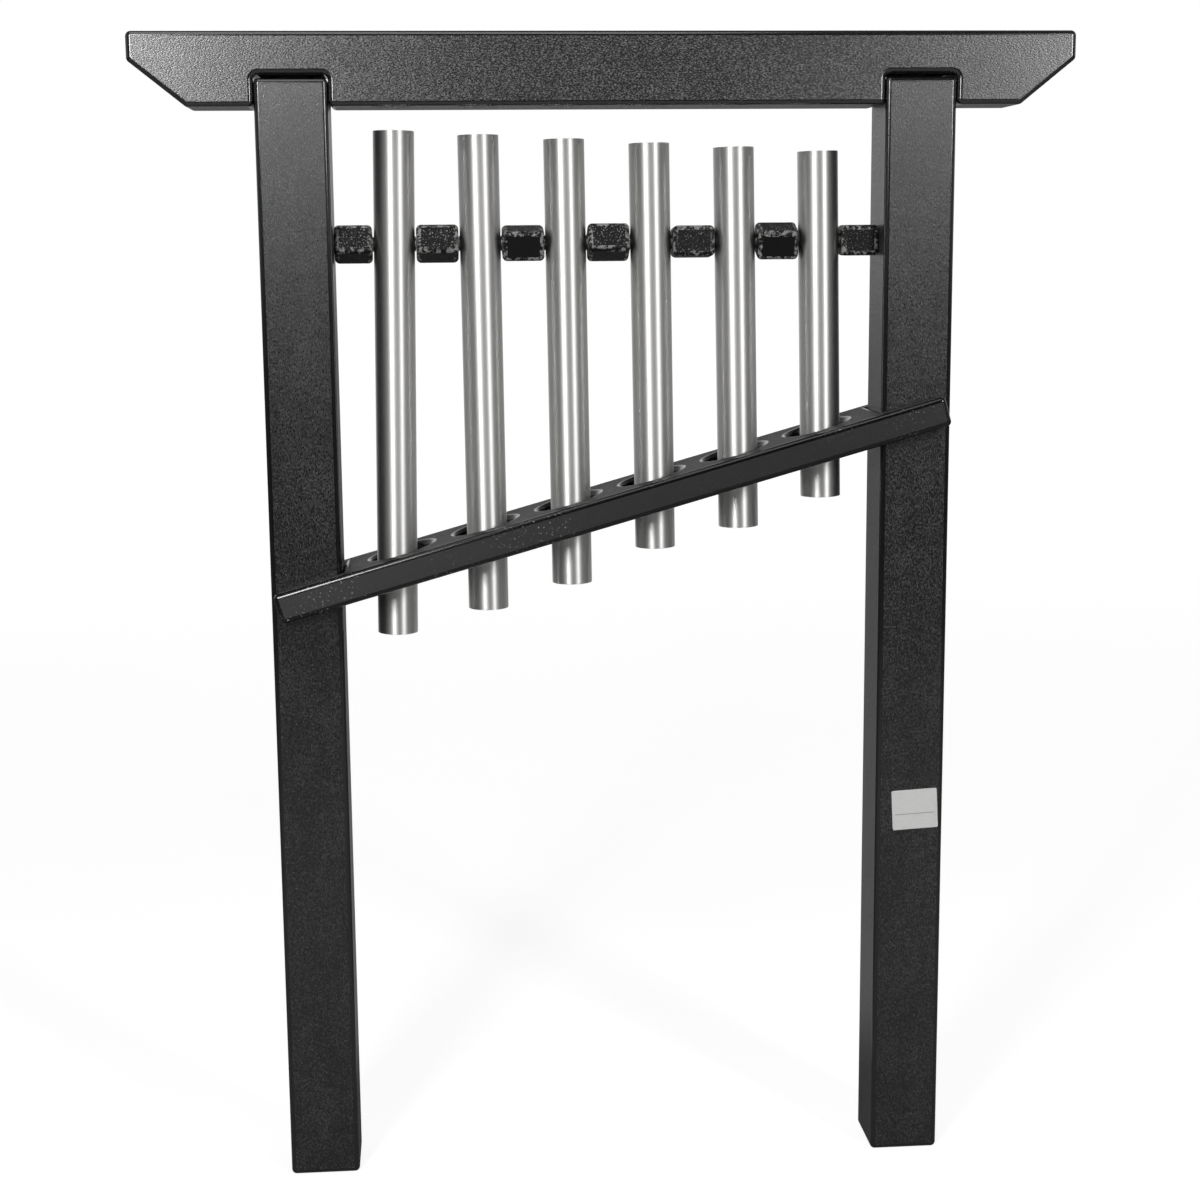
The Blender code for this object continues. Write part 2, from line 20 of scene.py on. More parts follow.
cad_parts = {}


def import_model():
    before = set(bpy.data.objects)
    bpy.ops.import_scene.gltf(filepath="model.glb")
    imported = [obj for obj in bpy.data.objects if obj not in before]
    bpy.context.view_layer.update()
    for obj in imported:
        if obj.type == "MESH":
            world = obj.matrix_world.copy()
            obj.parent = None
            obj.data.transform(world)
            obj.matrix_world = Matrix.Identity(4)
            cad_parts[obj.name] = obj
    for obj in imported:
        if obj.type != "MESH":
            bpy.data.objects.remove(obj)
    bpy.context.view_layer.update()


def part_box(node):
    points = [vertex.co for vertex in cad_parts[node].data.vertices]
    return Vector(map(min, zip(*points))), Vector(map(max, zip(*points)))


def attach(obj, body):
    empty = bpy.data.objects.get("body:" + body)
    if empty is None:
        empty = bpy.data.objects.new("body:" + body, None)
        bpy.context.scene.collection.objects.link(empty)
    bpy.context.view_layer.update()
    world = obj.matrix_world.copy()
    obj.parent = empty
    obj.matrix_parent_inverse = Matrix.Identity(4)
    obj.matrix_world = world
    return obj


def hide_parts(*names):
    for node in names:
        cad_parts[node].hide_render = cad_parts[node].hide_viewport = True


LOG = logging.getLogger("chimes")

Colour = tuple[float, float, float]
Socket = bpy.types.NodeSocket

ALONG_X = Vector((1.0, 0.0, 0.0))
ALONG_Y = Vector((0.0, 1.0, 0.0))
ALONG_Z = Vector((0.0, 0.0, 1.0))
WHITE = (1.0, 1.0, 1.0)

# The gap between pieces that touch, in metres, the same as in the solids.
FIT_GAP = 0.0003
# Points nearer to each other than this are one point.
WELD = 1e-7
# How near to the axis a closed turned piece begins and ends.
POLE = 1e-4
# How far a drill or a saw runs past the stock.
OVERRUN = 0.02
# Edges are shaded sharp from the first angle, and are rounded by the router from the second.
SHARP = math.radians(30.0)
ROUTED = math.radians(60.0)
ROUTED_STEPS = 6
QUARTER_TURN = math.pi / 2.0
RAIL_SLOPE = math.radians(15.57)


class Side(Enum):
    """The two posts, by the sign of their X."""

    LEFT = -1
    RIGHT = 1

    @property
    def label(self) -> str:
        """The side's name as the nodes spell it."""
        return self.name.lower()


class Slot(Enum):
    """The record's material slots."""

    LUMBER = "black_plastic_lumber"
    BLOCK = "black_block_plastic"
    ALUMINIUM = "satin_aluminium"
    STEEL = "stainless_steel"
    RUBBER = "black_rubber"


class Plane(Enum):
    """Which of an outline's two axes and its depth become X, Y and Z."""

    XY = [0, 1, 2]
    XZ = [0, 2, 1]
    YZ = [2, 0, 1]


class Steps(IntEnum):
    """How many points go round a hole or a turned piece."""

    NARROW = 32
    MIDDLE = 48
    WIDE = 64
    BORE = 72
    HEXAGON = 96
    TUBE = 120


# Surfaces as arrays


@dataclass
class Surface:
    """One closed surface.

    Attributes:
        points: its points, in metres, one a row.
        quads: its four-sided faces, as rows of point indices.
        caps: its flat many-sided faces, each as point indices.
    """

    points: np.ndarray
    quads: np.ndarray
    caps: list[np.ndarray] = field(default_factory=list)

    def moved(self, matrix: Matrix) -> Surface:
        """Return the surface carried by a 4 by 4 matrix.

        Args:
            matrix: the place, in metres.

        Returns:
            A new surface with the same faces.
        """
        m = np.array(matrix)
        return Surface(self.points @ m[:3, :3].T + m[:3, 3], self.quads, self.caps)


def grid_quads(rows: int, columns: int, wrap_rows: bool) -> np.ndarray:
    """Index a grid of points as quads, the columns closing on themselves.

    Args:
        rows: number of rings.
        columns: points in each ring.
        wrap_rows: whether the last ring joins the first.

    Returns:
        An array of point indices, four to a face.
    """
    last = rows if wrap_rows else rows - 1
    i, j = np.meshgrid(np.arange(last), np.arange(columns), indexing="ij")
    i_next, j_next = (i + 1) % rows, (j + 1) % columns
    corners = [i * columns + j, i * columns + j_next, i_next * columns + j_next,
               i_next * columns + j]
    return np.stack(corners, axis=-1).reshape(-1, 4)


def turned(profile: np.ndarray, steps: int, closed: bool) -> Surface:
    """Turn a profile about Z: each (radius, height) goes round a circle of that radius.

    Args:
        profile: points as (radius, height), in order.
        steps: points round the circle.
        closed: True for a ring, whose profile joins up; False closes the ends with flat caps.

    Returns:
        The closed surface.
    """
    angle = np.linspace(0.0, 2.0 * math.pi, steps, endpoint=False)
    radius, height = profile[:, :1], profile[:, 1:]
    points = np.stack([radius * np.cos(angle), radius * np.sin(angle),
                       np.repeat(height, steps, axis=1)], axis=-1)
    count = len(profile)
    caps = [] if closed else [np.arange(steps), np.arange(steps) + (count - 1) * steps]
    return Surface(points.reshape(-1, 3), grid_quads(count, steps, closed), caps)


def hex_turned(profile: np.ndarray, across_flats: float, steps: int, closed: bool) -> Surface:
    """Turn a profile and trim it by a hexagon.

    At each angle the radius is the smaller of the profile's and the hexagon's, which is half
    the width across flats over the cosine of the angle to the nearest flat's middle. A sloped
    shoulder in the profile so leaves the curved chamfers of a real nut.

    Args:
        profile: points as (radius, height), in order.
        across_flats: width between two flats.
        steps: points round, a multiple of 12.
        closed: as for turned.

    Returns:
        The closed surface.
    """
    surface = turned(profile, steps, closed)
    angle = np.linspace(0.0, 2.0 * math.pi, steps, endpoint=False)
    sixth = math.pi / 3.0
    limit = across_flats / 2.0 / np.cos((angle + sixth / 2.0) % sixth - sixth / 2.0)
    limit = np.tile(limit, len(profile))
    radius = np.hypot(surface.points[:, 0], surface.points[:, 1])
    scale = np.minimum(1.0, limit / np.maximum(radius, WELD))
    surface.points[:, :2] *= scale[:, None]
    return surface


def thread(run: np.ndarray, radius: float, depth: float, pitch: float) -> np.ndarray:
    """Give a thread's radius along it.

    The radius falls by half the depth times (1 - cos t), with t one full turn for each pitch.

    Args:
        run: distances along the thread.
        radius: the thread's outer radius.
        depth: how deep it is cut.
        pitch: from one crest to the next.

    Returns:
        The radius at each distance.
    """
    return radius - depth / 2.0 * (1.0 - np.cos(2.0 * math.pi * run / pitch))


def arc(centre: tuple[float, float], radius: float, start: float, end: float,
        count: int) -> np.ndarray:
    """Put points on an arc, the angle running evenly from start to end.

    Args:
        centre: the arc's centre.
        radius: its radius.
        start: the first angle, in degrees.
        end: the last angle, in degrees.
        count: number of points.

    Returns:
        The points, centre + radius * (cos angle, sin angle).
    """
    angle = np.radians(np.linspace(start, end, count))
    return np.stack([centre[0] + radius * np.cos(angle), centre[1] + radius * np.sin(angle)],
                    axis=-1)


def rounded_outline(corners: np.ndarray, steps: int) -> tuple[np.ndarray, np.ndarray]:
    """Replace each corner of an outline by an arc that touches both of its sides.

    With n1 and n2 the outward normals of the sides before and after a corner, the arc's centre
    is the corner moved by radius * (n1 + n2) / (1 + n1.n2), inwards at a convex corner and
    outwards at a concave one, and the normal turns evenly from n1 to n2.

    Args:
        corners: (a, b, radius) rows, counter-clockwise.
        steps: points on each arc.

    Returns:
        The outline's points and their outward unit normals.
    """
    here, radius = corners[:, :2], corners[:, 2:]
    before = here - np.roll(here, 1, axis=0)
    after = np.roll(here, -1, axis=0) - here
    before /= np.linalg.norm(before, axis=1, keepdims=True)
    after /= np.linalg.norm(after, axis=1, keepdims=True)
    n1 = np.stack([before[:, 1], -before[:, 0]], axis=-1)
    n2 = np.stack([after[:, 1], -after[:, 0]], axis=-1)
    dot = np.sum(n1 * n2, axis=1)
    cross = n1[:, 0] * n2[:, 1] - n1[:, 1] * n2[:, 0]
    sign = np.sign(cross)[:, None]
    centre = here - sign * radius * (n1 + n2) / (1.0 + dot)[:, None]
    sweep = np.arctan2(cross, dot)
    turn = np.arctan2(n1[:, 1], n1[:, 0])[:, None] + sweep[:, None] * np.linspace(0, 1, steps)
    normals = np.stack([np.cos(turn), np.sin(turn)], axis=-1)
    points = centre[:, None] + (sign * radius)[:, None] * normals
    return points.reshape(-1, 2), normals.reshape(-1, 2)


def routed_slab(corners: np.ndarray, depth: float, edge: float, plane: Plane,
                steps: int = 8) -> Surface:
    """Give an outline a depth and round its two rims.

    Ring by ring, the outline moves in along its normals by edge * (1 - sin t) while its depth
    is half - edge * (1 - cos t), for t from 0 to a right angle, and the other rim mirrors it.

    Args:
        corners: (a, b, radius) rows, counter-clockwise.
        depth: thickness across the outline.
        edge: radius of the rounded rims.
        plane: the axes that the outline lies in.
        steps: points on each corner's arc and on each rim's quarter circle.

    Returns:
        The closed surface, its depth centred on zero.
    """
    outline, normals = rounded_outline(corners, steps)
    t = np.linspace(0.0, QUARTER_TURN, steps)
    inset = edge * (1.0 - np.sin(t))
    level = depth / 2.0 - edge * (1.0 - np.cos(t))
    inset = np.concatenate([inset, inset[::-1]])
    level = np.concatenate([level, -level[::-1]])
    flat = outline[None] - inset[:, None, None] * normals[None]
    points = np.concatenate([flat, np.broadcast_to(level[:, None, None],
                                                   (*flat.shape[:2], 1))], axis=-1)
    rings, count = flat.shape[:2]
    points = points.reshape(-1, 3)[:, plane.value]
    caps = [np.arange(count), np.arange(count) + (rings - 1) * count]
    return Surface(points, grid_quads(rings, count, False), caps)


def rectangle(width: float, height: float, radius: float) -> np.ndarray:
    """List the corners of a rectangle round (0, 0), counter-clockwise.

    Args:
        width: its width, along a.
        height: its height, along b.
        radius: its corners' radius.

    Returns:
        The corners as (a, b, radius) rows.
    """
    a, b = width / 2.0, height / 2.0
    return np.array([[-a, -b, radius], [a, -b, radius], [a, b, radius], [-a, b, radius]])


def drum(radius: float, start: Vector, end: Vector, steps: int = Steps.WIDE) -> Surface:
    """Make a plain cylinder between two points, used to drill other surfaces.

    Args:
        radius: its radius.
        start: the middle of one end.
        end: the middle of the other.
        steps: points round it.

    Returns:
        The closed surface.
    """
    axis = end - start
    turn = ALONG_Z.rotation_difference(axis).to_matrix().to_4x4()
    profile = np.array([[radius, 0.0], [radius, axis.length]])
    return turned(profile, steps, closed=False).moved(Matrix.Translation(start) @ turn)


# Blender objects from surfaces


def rows_of(items: bpy.types.bpy_prop_collection, name: str, width: int,
            kind: type = np.float32) -> np.ndarray:
    """Read a property of all of a mesh's vertices, edges or faces at once.

    Args:
        items: the mesh's vertices, edges or polygons.
        name: the property.
        width: how many numbers it has.
        kind: the numbers' type.

    Returns:
        An array with a row for each item.
    """
    rows = np.empty(len(items) * width, kind)
    items.foreach_get(name, rows)
    return rows.reshape(-1, width)


def mesh_of(name: str, surface: Surface) -> bpy.types.Mesh:
    """Put a surface's arrays into a mesh whose faces point outwards.

    Args:
        name: the mesh's name.
        surface: points and faces.

    Returns:
        The mesh.
    """
    faces = surface.quads.tolist() + [cap.tolist() for cap in surface.caps]
    mesh = bpy.data.meshes.new(name)
    mesh.from_pydata(surface.points.tolist(), [], faces)
    work = bmesh.new()
    work.from_mesh(mesh)
    bmesh.ops.remove_doubles(work, verts=work.verts, dist=WELD)
    bmesh.ops.recalc_face_normals(work, faces=work.faces)
    work.to_mesh(mesh)
    work.free()
    return mesh


def score_faces(mesh: bpy.types.Mesh, planes: list[tuple[Vector, Vector]]) -> None:
    """Split a mesh's faces along planes, so that no later hole lies inside a single face.

    Args:
        mesh: the mesh, which is changed.
        planes: a point and a normal for each.
    """
    work = bmesh.new()
    work.from_mesh(mesh)
    for point, normal in planes:
        geometry = [*work.verts, *work.edges, *work.faces]
        bmesh.ops.bisect_plane(work, geom=geometry, dist=WELD, plane_co=point, plane_no=normal)
    work.to_mesh(mesh)
    work.free()


def route_edges(mesh: bpy.types.Mesh, radius: float, spared: list[Surface]) -> None:
    """Round a mesh's sharp edges, but not those that lie in the box of a spared tool.

    Args:
        mesh: the mesh, which is changed.
        radius: the rounding's radius.
        spared: the tools whose edges stay sharp.
    """
    ends = rows_of(mesh.vertices, "co", 3)[rows_of(mesh.edges, "vertices", 2, np.int32)]
    inside = np.zeros(len(ends), bool)
    for tool in spared:
        low, high = tool.points.min(axis=0) - FIT_GAP, tool.points.max(axis=0) + FIT_GAP
        inside |= ((ends > low) & (ends < high)).all(axis=(1, 2))
    work = bmesh.new()
    work.from_mesh(mesh)
    sharp = [edge for edge, spare in zip(work.edges, inside)
             if edge.calc_face_angle(0.0) > ROUTED and not spare]
    bmesh.ops.bevel(work, geom=sharp, offset=radius, offset_type="OFFSET",
                    segments=ROUTED_STEPS, profile=0.5, affect="EDGES", clamp_overlap=False)
    work.to_mesh(mesh)
    work.free()


def mark_faces(mesh: bpy.types.Mesh, name: str, marked: np.ndarray) -> None:
    """Store a face attribute that is 1 on the marked faces and 0 on the others.

    Args:
        mesh: the mesh.
        name: the attribute's name.
        marked: True or False for each face.
    """
    attribute = mesh.attributes.new(name, "FLOAT", "FACE")
    attribute.data.foreach_set("value", marked.astype(np.float32))


def mark_curved(mesh: bpy.types.Mesh, directions: float = 60.0,
                flat_share: float = 0.03) -> None:
    """Mark the curved faces as routed.

    A face counts as flat if the faces that share its direction add up to a large area: the
    directions are rounded to about a degree and their areas are summed.

    Args:
        mesh: the finished mesh.
        directions: steps that a normal's parts are rounded to, from 0 to 1.
        flat_share: share of the whole area from which a direction counts as flat.
    """
    keys = np.round(rows_of(mesh.polygons, "normal", 3) * directions).astype(int)
    area = rows_of(mesh.polygons, "area", 1)[:, 0]
    _, group = np.unique(keys, axis=0, return_inverse=True)
    group = group.reshape(-1)
    total = np.bincount(group, weights=area)[group]
    mark_faces(mesh, "routed", total < flat_share * area.sum())


def mark_sawn(mesh: bpy.types.Mesh, levels: tuple[float, ...]) -> None:
    """Mark as sawn the faces that lie level at one of some heights.

    Args:
        mesh: the finished mesh.
        levels: the heights, in metres.
    """
    heights = rows_of(mesh.polygons, "center", 3)[:, 2:]
    level = np.abs(rows_of(mesh.polygons, "normal", 3)[:, 2]) > 0.5
    nearest = np.abs(heights - np.array([*levels, math.inf])).min(axis=1)
    mark_faces(mesh, "sawn", (nearest < FIT_GAP) & level)


@dataclass
class Workpiece:
    """One piece on the bench: a surface, the tools that cut it, and its rounding.

    Attributes:
        name: the finished piece's name.
        surface: the stock it is cut from.
        cutters: closed surfaces taken away from it, whose edges are rounded with the rest.
        rounding: radius put on every sharp edge after the cuts, or nothing.
        sharp_cutters: closed surfaces taken away from it, whose edges stay sharp.
        sawn_levels: heights at which flat faces were sawn and left matte.
        scores: planes, as a point and a normal, that split the stock's faces before the cuts.
    """

    name: str
    surface: Surface
    cutters: list[Surface] = field(default_factory=list)
    rounding: float = 0.0
    sharp_cutters: list[Surface] = field(default_factory=list)
    sawn_levels: tuple[float, ...] = ()
    scores: list[tuple[Vector, Vector]] = field(default_factory=list)

    def moved(self, place: Matrix) -> Workpiece:
        """Move an uncut workpiece's surface to its place, and return the workpiece."""
        self.surface = self.surface.moved(place)
        return self

    def cut(self) -> bpy.types.Mesh:
        """Take the cutters away from the stock.

        Returns:
            The mesh that is left, with its faces scored.
        """
        scene = bpy.context.scene
        blank = mesh_of(self.name, self.surface)
        score_faces(blank, self.scores)
        stock = bpy.data.objects.new(f"{self.name}_stock", blank)
        scene.collection.objects.link(stock)
        used = [stock]
        for number, tool in enumerate(self.cutters + self.sharp_cutters):
            name = f"{self.name}_tool_{number}"
            cutter = bpy.data.objects.new(name, mesh_of(name, tool))
            scene.collection.objects.link(cutter)
            boolean = stock.modifiers.new(name, "BOOLEAN")
            boolean.object = cutter
            boolean.operation = "DIFFERENCE"
            boolean.solver = "EXACT"
            used.append(cutter)
        bpy.context.view_layer.update()
        graph = bpy.context.evaluated_depsgraph_get()
        mesh = bpy.data.meshes.new_from_object(stock.evaluated_get(graph))
        for spent in used:
            spent_mesh = spent.data
            bpy.data.objects.remove(spent)
            bpy.data.meshes.remove(spent_mesh)
        return mesh

    def finished(self) -> bpy.types.Object:
        """Cut and round the stock and return a plain mesh object at the origin.

        Returns:
            The object, shaded smooth with its flat faces kept flat, and with two face
            attributes: routed is 1 on curved faces, and sawn is 1 on sawn ones.
        """
        mesh = self.cut()
        mesh.name = self.name
        if self.rounding > 0.0:
            route_edges(mesh, self.rounding, self.sharp_cutters)
        mesh.shade_smooth()
        mesh.set_sharp_from_angle(angle=SHARP)
        mark_curved(mesh)
        mark_sawn(mesh, self.sawn_levels)
        obj = bpy.data.objects.new(self.name, mesh)
        bpy.context.scene.collection.objects.link(obj)
        weighted = obj.modifiers.new("flat faces stay flat", "WEIGHTED_NORMAL")
        weighted.keep_sharp = True
        return obj


def fit_to_frame(obj: bpy.types.Object, body: str, slot: Slot, finish: bpy.types.Material,
                 *nodes: str) -> None:
    """Dress a piece, let it ride on its body and let it stand for its CAD nodes.

    Args:
        obj: the piece, at the origin.
        body: the CAD body that carries it.
        slot: the record's slot for it, which is not used.
        finish: its material.
        nodes: the CAD nodes that it stands for.
    """
    obj.data.materials.clear()
    obj.data.materials.append(finish)
    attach(obj, body)
    proud = 0.0
    if nodes:
        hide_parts(*nodes)
        boxes = np.array([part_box(node) for node in nodes])
        low, high = boxes[:, 0].min(axis=0), boxes[:, 1].max(axis=0)
        points = rows_of(obj.data.vertices, "co", 3)
        proud = max(proud, (low - points.min(axis=0)).max(), (points.max(axis=0) - high).max())
    LOG.info("%s: %d faces, %.2f mm past its solid", obj.name, len(obj.data.polygons),
             1000.0 * proud)


# Finishes


class NodeGraph:
    """A tree of shader nodes, with short calls that add and wire them."""

    def __init__(self, tree: bpy.types.NodeTree, coordinates: str) -> None:
        """Take over a tree and read one kind of texture coordinates in it.

        Args:
            tree: the tree.
            coordinates: the Texture Coordinate output that patterns follow.
        """
        self.tree = tree
        self.coordinates = self.add("TexCoord").outputs[coordinates]

    def add(self, kind: str) -> bpy.types.Node:
        """Add a shader node, named without its prefix."""
        return self.tree.nodes.new(f"ShaderNode{kind}")

    def wire(self, source: Socket | float | Colour | Vector, target: Socket) -> None:
        """Link a socket, or write a plain value, into an input.

        Args:
            source: an output, a number, a colour or a vector.
            target: the input.
        """
        if isinstance(source, Socket):
            self.tree.links.new(source, target)
        elif isinstance(source, tuple):
            target.default_value = (*source, 1.0)
        else:
            target.default_value = source

    def noise(self, scale: float, detail: float, roughness: float,
              coordinates: Socket | None = None) -> Socket:
        """Add fractal noise between 0 and 1.

        Args:
            scale: grains in a metre.
            detail: number of finer layers.
            roughness: share of each layer that the next one has.
            coordinates: where it is read, if not at the graph's own coordinates.

        Returns:
            The noise.
        """
        node = self.add("TexNoise")
        for name, value in (("Scale", scale), ("Detail", detail), ("Roughness", roughness),
                            ("Vector", coordinates or self.coordinates)):
            self.wire(value, node.inputs[name])
        return node.outputs["Fac"]

    def span(self, value: Socket, low: float, high: float, to_low: Socket | float = 0.0,
             to_high: Socket | float = 1.0) -> Socket:
        """Map a value from one range to another, clamped.

        Args:
            value: the value.
            low: start of its range.
            high: end of its range.
            to_low: what the start becomes.
            to_high: what the end becomes.

        Returns:
            The mapped value.
        """
        node = self.add("MapRange")
        for name, number in (("Value", value), ("From Min", low), ("From Max", high),
                             ("To Min", to_low), ("To Max", to_high)):
            self.wire(number, node.inputs[name])
        return node.outputs["Result"]

    def combine(self, operation: str, first: Socket | float, second: Socket | float) -> Socket:
        """Combine two values with a Math node, sums and differences clamped to 0 and 1.

        Args:
            operation: the node's operation.
            first: the first value.
            second: the second value.

        Returns:
            The result.
        """
        node = self.add("Math")
        node.operation = operation
        node.use_clamp = operation in ("ADD", "SUBTRACT")
        self.wire(first, node.inputs[0])
        self.wire(second, node.inputs[1])
        return node.outputs[0]

    def vector(self, operation: str, *operands: Socket | Vector) -> bpy.types.Node:
        """Combine vectors with a Vector Math node.

        Args:
            operation: the node's operation.
            operands: the vectors.

        Returns:
            The node, whose outputs are Vector and Value.
        """
        node = self.add("VectorMath")
        node.operation = operation
        for operand, target in zip(operands, node.inputs):
            self.wire(operand, target)
        return node

    def axis(self, vector: Socket, name: str) -> Socket:
        """Take one of a vector's parts: X, Y or Z.

        Args:
            vector: the vector.
            name: the part.

        Returns:
            The part.
        """
        parts = self.add("SeparateXYZ")
        self.wire(vector, parts.inputs["Vector"])
        return parts.outputs[name]

    def ray(self, kind: str) -> Socket:
        """Say whether a ray is of a kind, such as Is Camera Ray."""
        return self.add("LightPath").outputs[kind]


class Shader(NodeGraph):
    """A material of one Principled shader, whose patterns read Object coordinates."""

    def __init__(self, name: str) -> None:
        """Make the material.

        Args:
            name: its name.
        """
        self.material = bpy.data.materials.new(name)
        self.material.use_nodes = True
        self.surface = self.material.node_tree.nodes["Principled BSDF"]
        super().__init__(self.material.node_tree, "Object")

    def stretched(self, scale: tuple[float, float, float]) -> Socket:
        """Scale the Object coordinates along their axes.

        Args:
            scale: how many grains of noise a metre of each axis gets.

        Returns:
            The scaled coordinates.
        """
        node = self.add("Mapping")
        node.inputs["Scale"].default_value = scale
        self.wire(self.coordinates, node.inputs["Vector"])
        return node.outputs["Vector"]

    def grained(self, grain: Vector, stretch: float) -> Socket:
        """Turn the Object coordinates so that X runs with a grain, and draw them out along it.

        Args:
            grain: the grain's direction.
            stretch: how many times longer than wide a pattern's spots become.

        Returns:
            The turned coordinates.
        """
        node = self.add("Mapping")
        node.vector_type = "TEXTURE"
        node.inputs["Rotation"].default_value = ALONG_X.rotation_difference(grain).to_euler()
        node.inputs["Scale"].default_value = (stretch, 1.0, 1.0)
        self.wire(self.coordinates, node.inputs["Vector"])
        return node.outputs["Vector"]

    def blend(self, share: Socket, first: Socket | Colour, second: Socket | Colour) -> Socket:
        """Blend two colours.

        Args:
            share: the second colour's share, from 0 to 1.
            first: the first colour.
            second: the second colour.

        Returns:
            The blended colour.
        """
        node = self.add("Mix")
        node.data_type = "RGBA"
        # A Mix node lists its inputs for numbers and vectors before the two for colours.
        self.wire(share, node.inputs[0])
        self.wire(first, node.inputs[6])
        self.wire(second, node.inputs[7])
        return node.outputs[2]

    def attribute(self, name: str) -> Socket:
        """Read a number stored on the mesh.

        Args:
            name: the attribute's name.

        Returns:
            The number.
        """
        node = self.add("Attribute")
        node.attribute_name = name
        return node.outputs["Fac"]

    def relief(self, height: Socket, distance: float, strength: Socket | float) -> Socket:
        """Raise the surface by a pattern.

        Args:
            height: the pattern, from 0 to 1.
            distance: the depth that 1 stands for, in metres.
            strength: share of it that shows.

        Returns:
            The bumped normal.
        """
        node = self.add("Bump")
        self.wire(distance, node.inputs["Distance"])
        self.wire(strength, node.inputs["Strength"])
        self.wire(height, node.inputs["Height"])
        return node.outputs["Normal"]

    def across(self, grain: Vector) -> Socket:
        """Find the direction in the surface that runs across a grain."""
        normal = self.add("NewGeometry").outputs["Normal"]
        return self.vector("CROSS_PRODUCT", grain, normal).outputs["Vector"]

    def upright(self) -> Socket:
        """Give the upright direction, as the tangent of a surface with lines round it.

        Returns:
            The direction.
        """
        node = self.add("CombineXYZ")
        self.wire(1.0, node.inputs["Z"])
        return node.outputs["Vector"]

    def facing_up(self, low: float, high: float) -> Socket:
        """Say how far the piece's surface faces up at rest, from its own normal's Z.

        Args:
            low: the Z that counts as 0.
            high: the Z that counts as 1.

        Returns:
            The share, from 0 to 1.
        """
        normal = self.add("TexCoord").outputs["Normal"]
        return self.span(self.axis(normal, "Z"), low, high)

    def dress(self, **inputs: Socket | float | Colour) -> bpy.types.Material:
        """Wire or set the Principled shader's inputs.

        Args:
            inputs: the values, named as the inputs are, with underscores for spaces.

        Returns:
            The finished material.
        """
        for name, value in inputs.items():
            self.wire(value, self.surface.inputs[name.replace("_", " ")])
        return self.material


class Grain(Enum):
    """The direction that a piece of lumber was extruded and brushed in."""

    UPRIGHT = (0.0, 0.0, 1.0)
    LEVEL = (1.0, 0.0, 0.0)
    SLOPED = (math.cos(RAIL_SLOPE), 0.0, math.sin(RAIL_SLOPE))


@dataclass(frozen=True)
class LumberFinish:
    """Black plastic lumber: a finely grained skin, and smooth bands where it was routed.

    The skin's gloss is spread across the grain, as on a brushed surface, so its tangent is the
    grain's direction crossed with the normal.

    Attributes:
        name: the material's name.
        grain: the direction of the grain.
        dark: colour of the skin.
        light: colour of its fibres.
        gloss: roughness of the smoothest and of the dullest spots of the skin.
        ior: how strongly the skin mirrors.
        pitting: depth of the skin's pits, in metres.
        flecked: whether pale flecks show in places.
        fleck: colour of the flecks.
        flecks: flecks in a metre.
        fleck_patches: flecked places in a metre.
        fibres: fibres in a metre across the grain.
        fibre_stretch: how many times longer than wide a fibre is.
        patches: lighter and darker patches in a metre.
        routed_gloss: roughness where the router has been.
    """

    name: str
    grain: Grain
    dark: Colour = (0.001, 0.001, 0.001)
    light: Colour = (0.070, 0.070, 0.070)
    gloss: tuple[float, float] = (0.27, 0.45)
    ior: float = 1.50
    pitting: float = 0.0005
    flecked: bool = False
    fleck: Colour = (0.34, 0.34, 0.34)
    flecks: float = 300.0
    fleck_patches: float = 9.0
    fibres: float = 760.0
    fibre_stretch: float = 2.0
    patches: float = 30.0
    routed_gloss: float = 0.19

    def build(self) -> bpy.types.Material:
        """Make the material.

        Returns:
            The material.
        """
        s = Shader(self.name)
        grain = Vector(self.grain.value)
        along = s.grained(grain, self.fibre_stretch)
        fibres = s.noise(self.fibres, 2.0, 0.5, along)
        patches = s.span(s.noise(self.patches, 3.0, 0.55, along), 0.3, 0.7, -0.03, 0.03)
        routed = s.attribute("routed")
        skin = s.combine("SUBTRACT", 1.0, routed)
        share = s.span(s.combine("ADD", fibres, patches), 0.50, 0.70)
        share = s.combine("MULTIPLY", share, s.span(skin, 0.0, 1.0, 0.15, 1.0))
        colour = s.blend(share, self.dark, self.light)
        if self.flecked:
            where = s.span(s.noise(self.fleck_patches, 1.0, 0.5), 0.46, 0.58)
            specks_and_glints = s.span(s.noise(self.flecks, 2.0, 0.6), 0.62, 0.74)
            colour = s.blend(s.combine("MULTIPLY", where, specks_and_glints), colour, self.fleck)
        rough = s.span(routed, 0.0, 1.0, s.span(fibres, 0.35, 0.65, *self.gloss),
                       self.routed_gloss)
        rough = s.span(s.attribute("sawn"), 0.0, 1.0, rough, 1.0)
        pits = s.relief(fibres, self.pitting, s.span(skin, 0.0, 1.0, 0.0, 0.6))
        return s.dress(Base_Color=colour, Roughness=rough, Normal=pits, IOR=self.ior,
                       Specular_IOR_Level=1.0, Anisotropic=0.6, Tangent=s.across(grain))


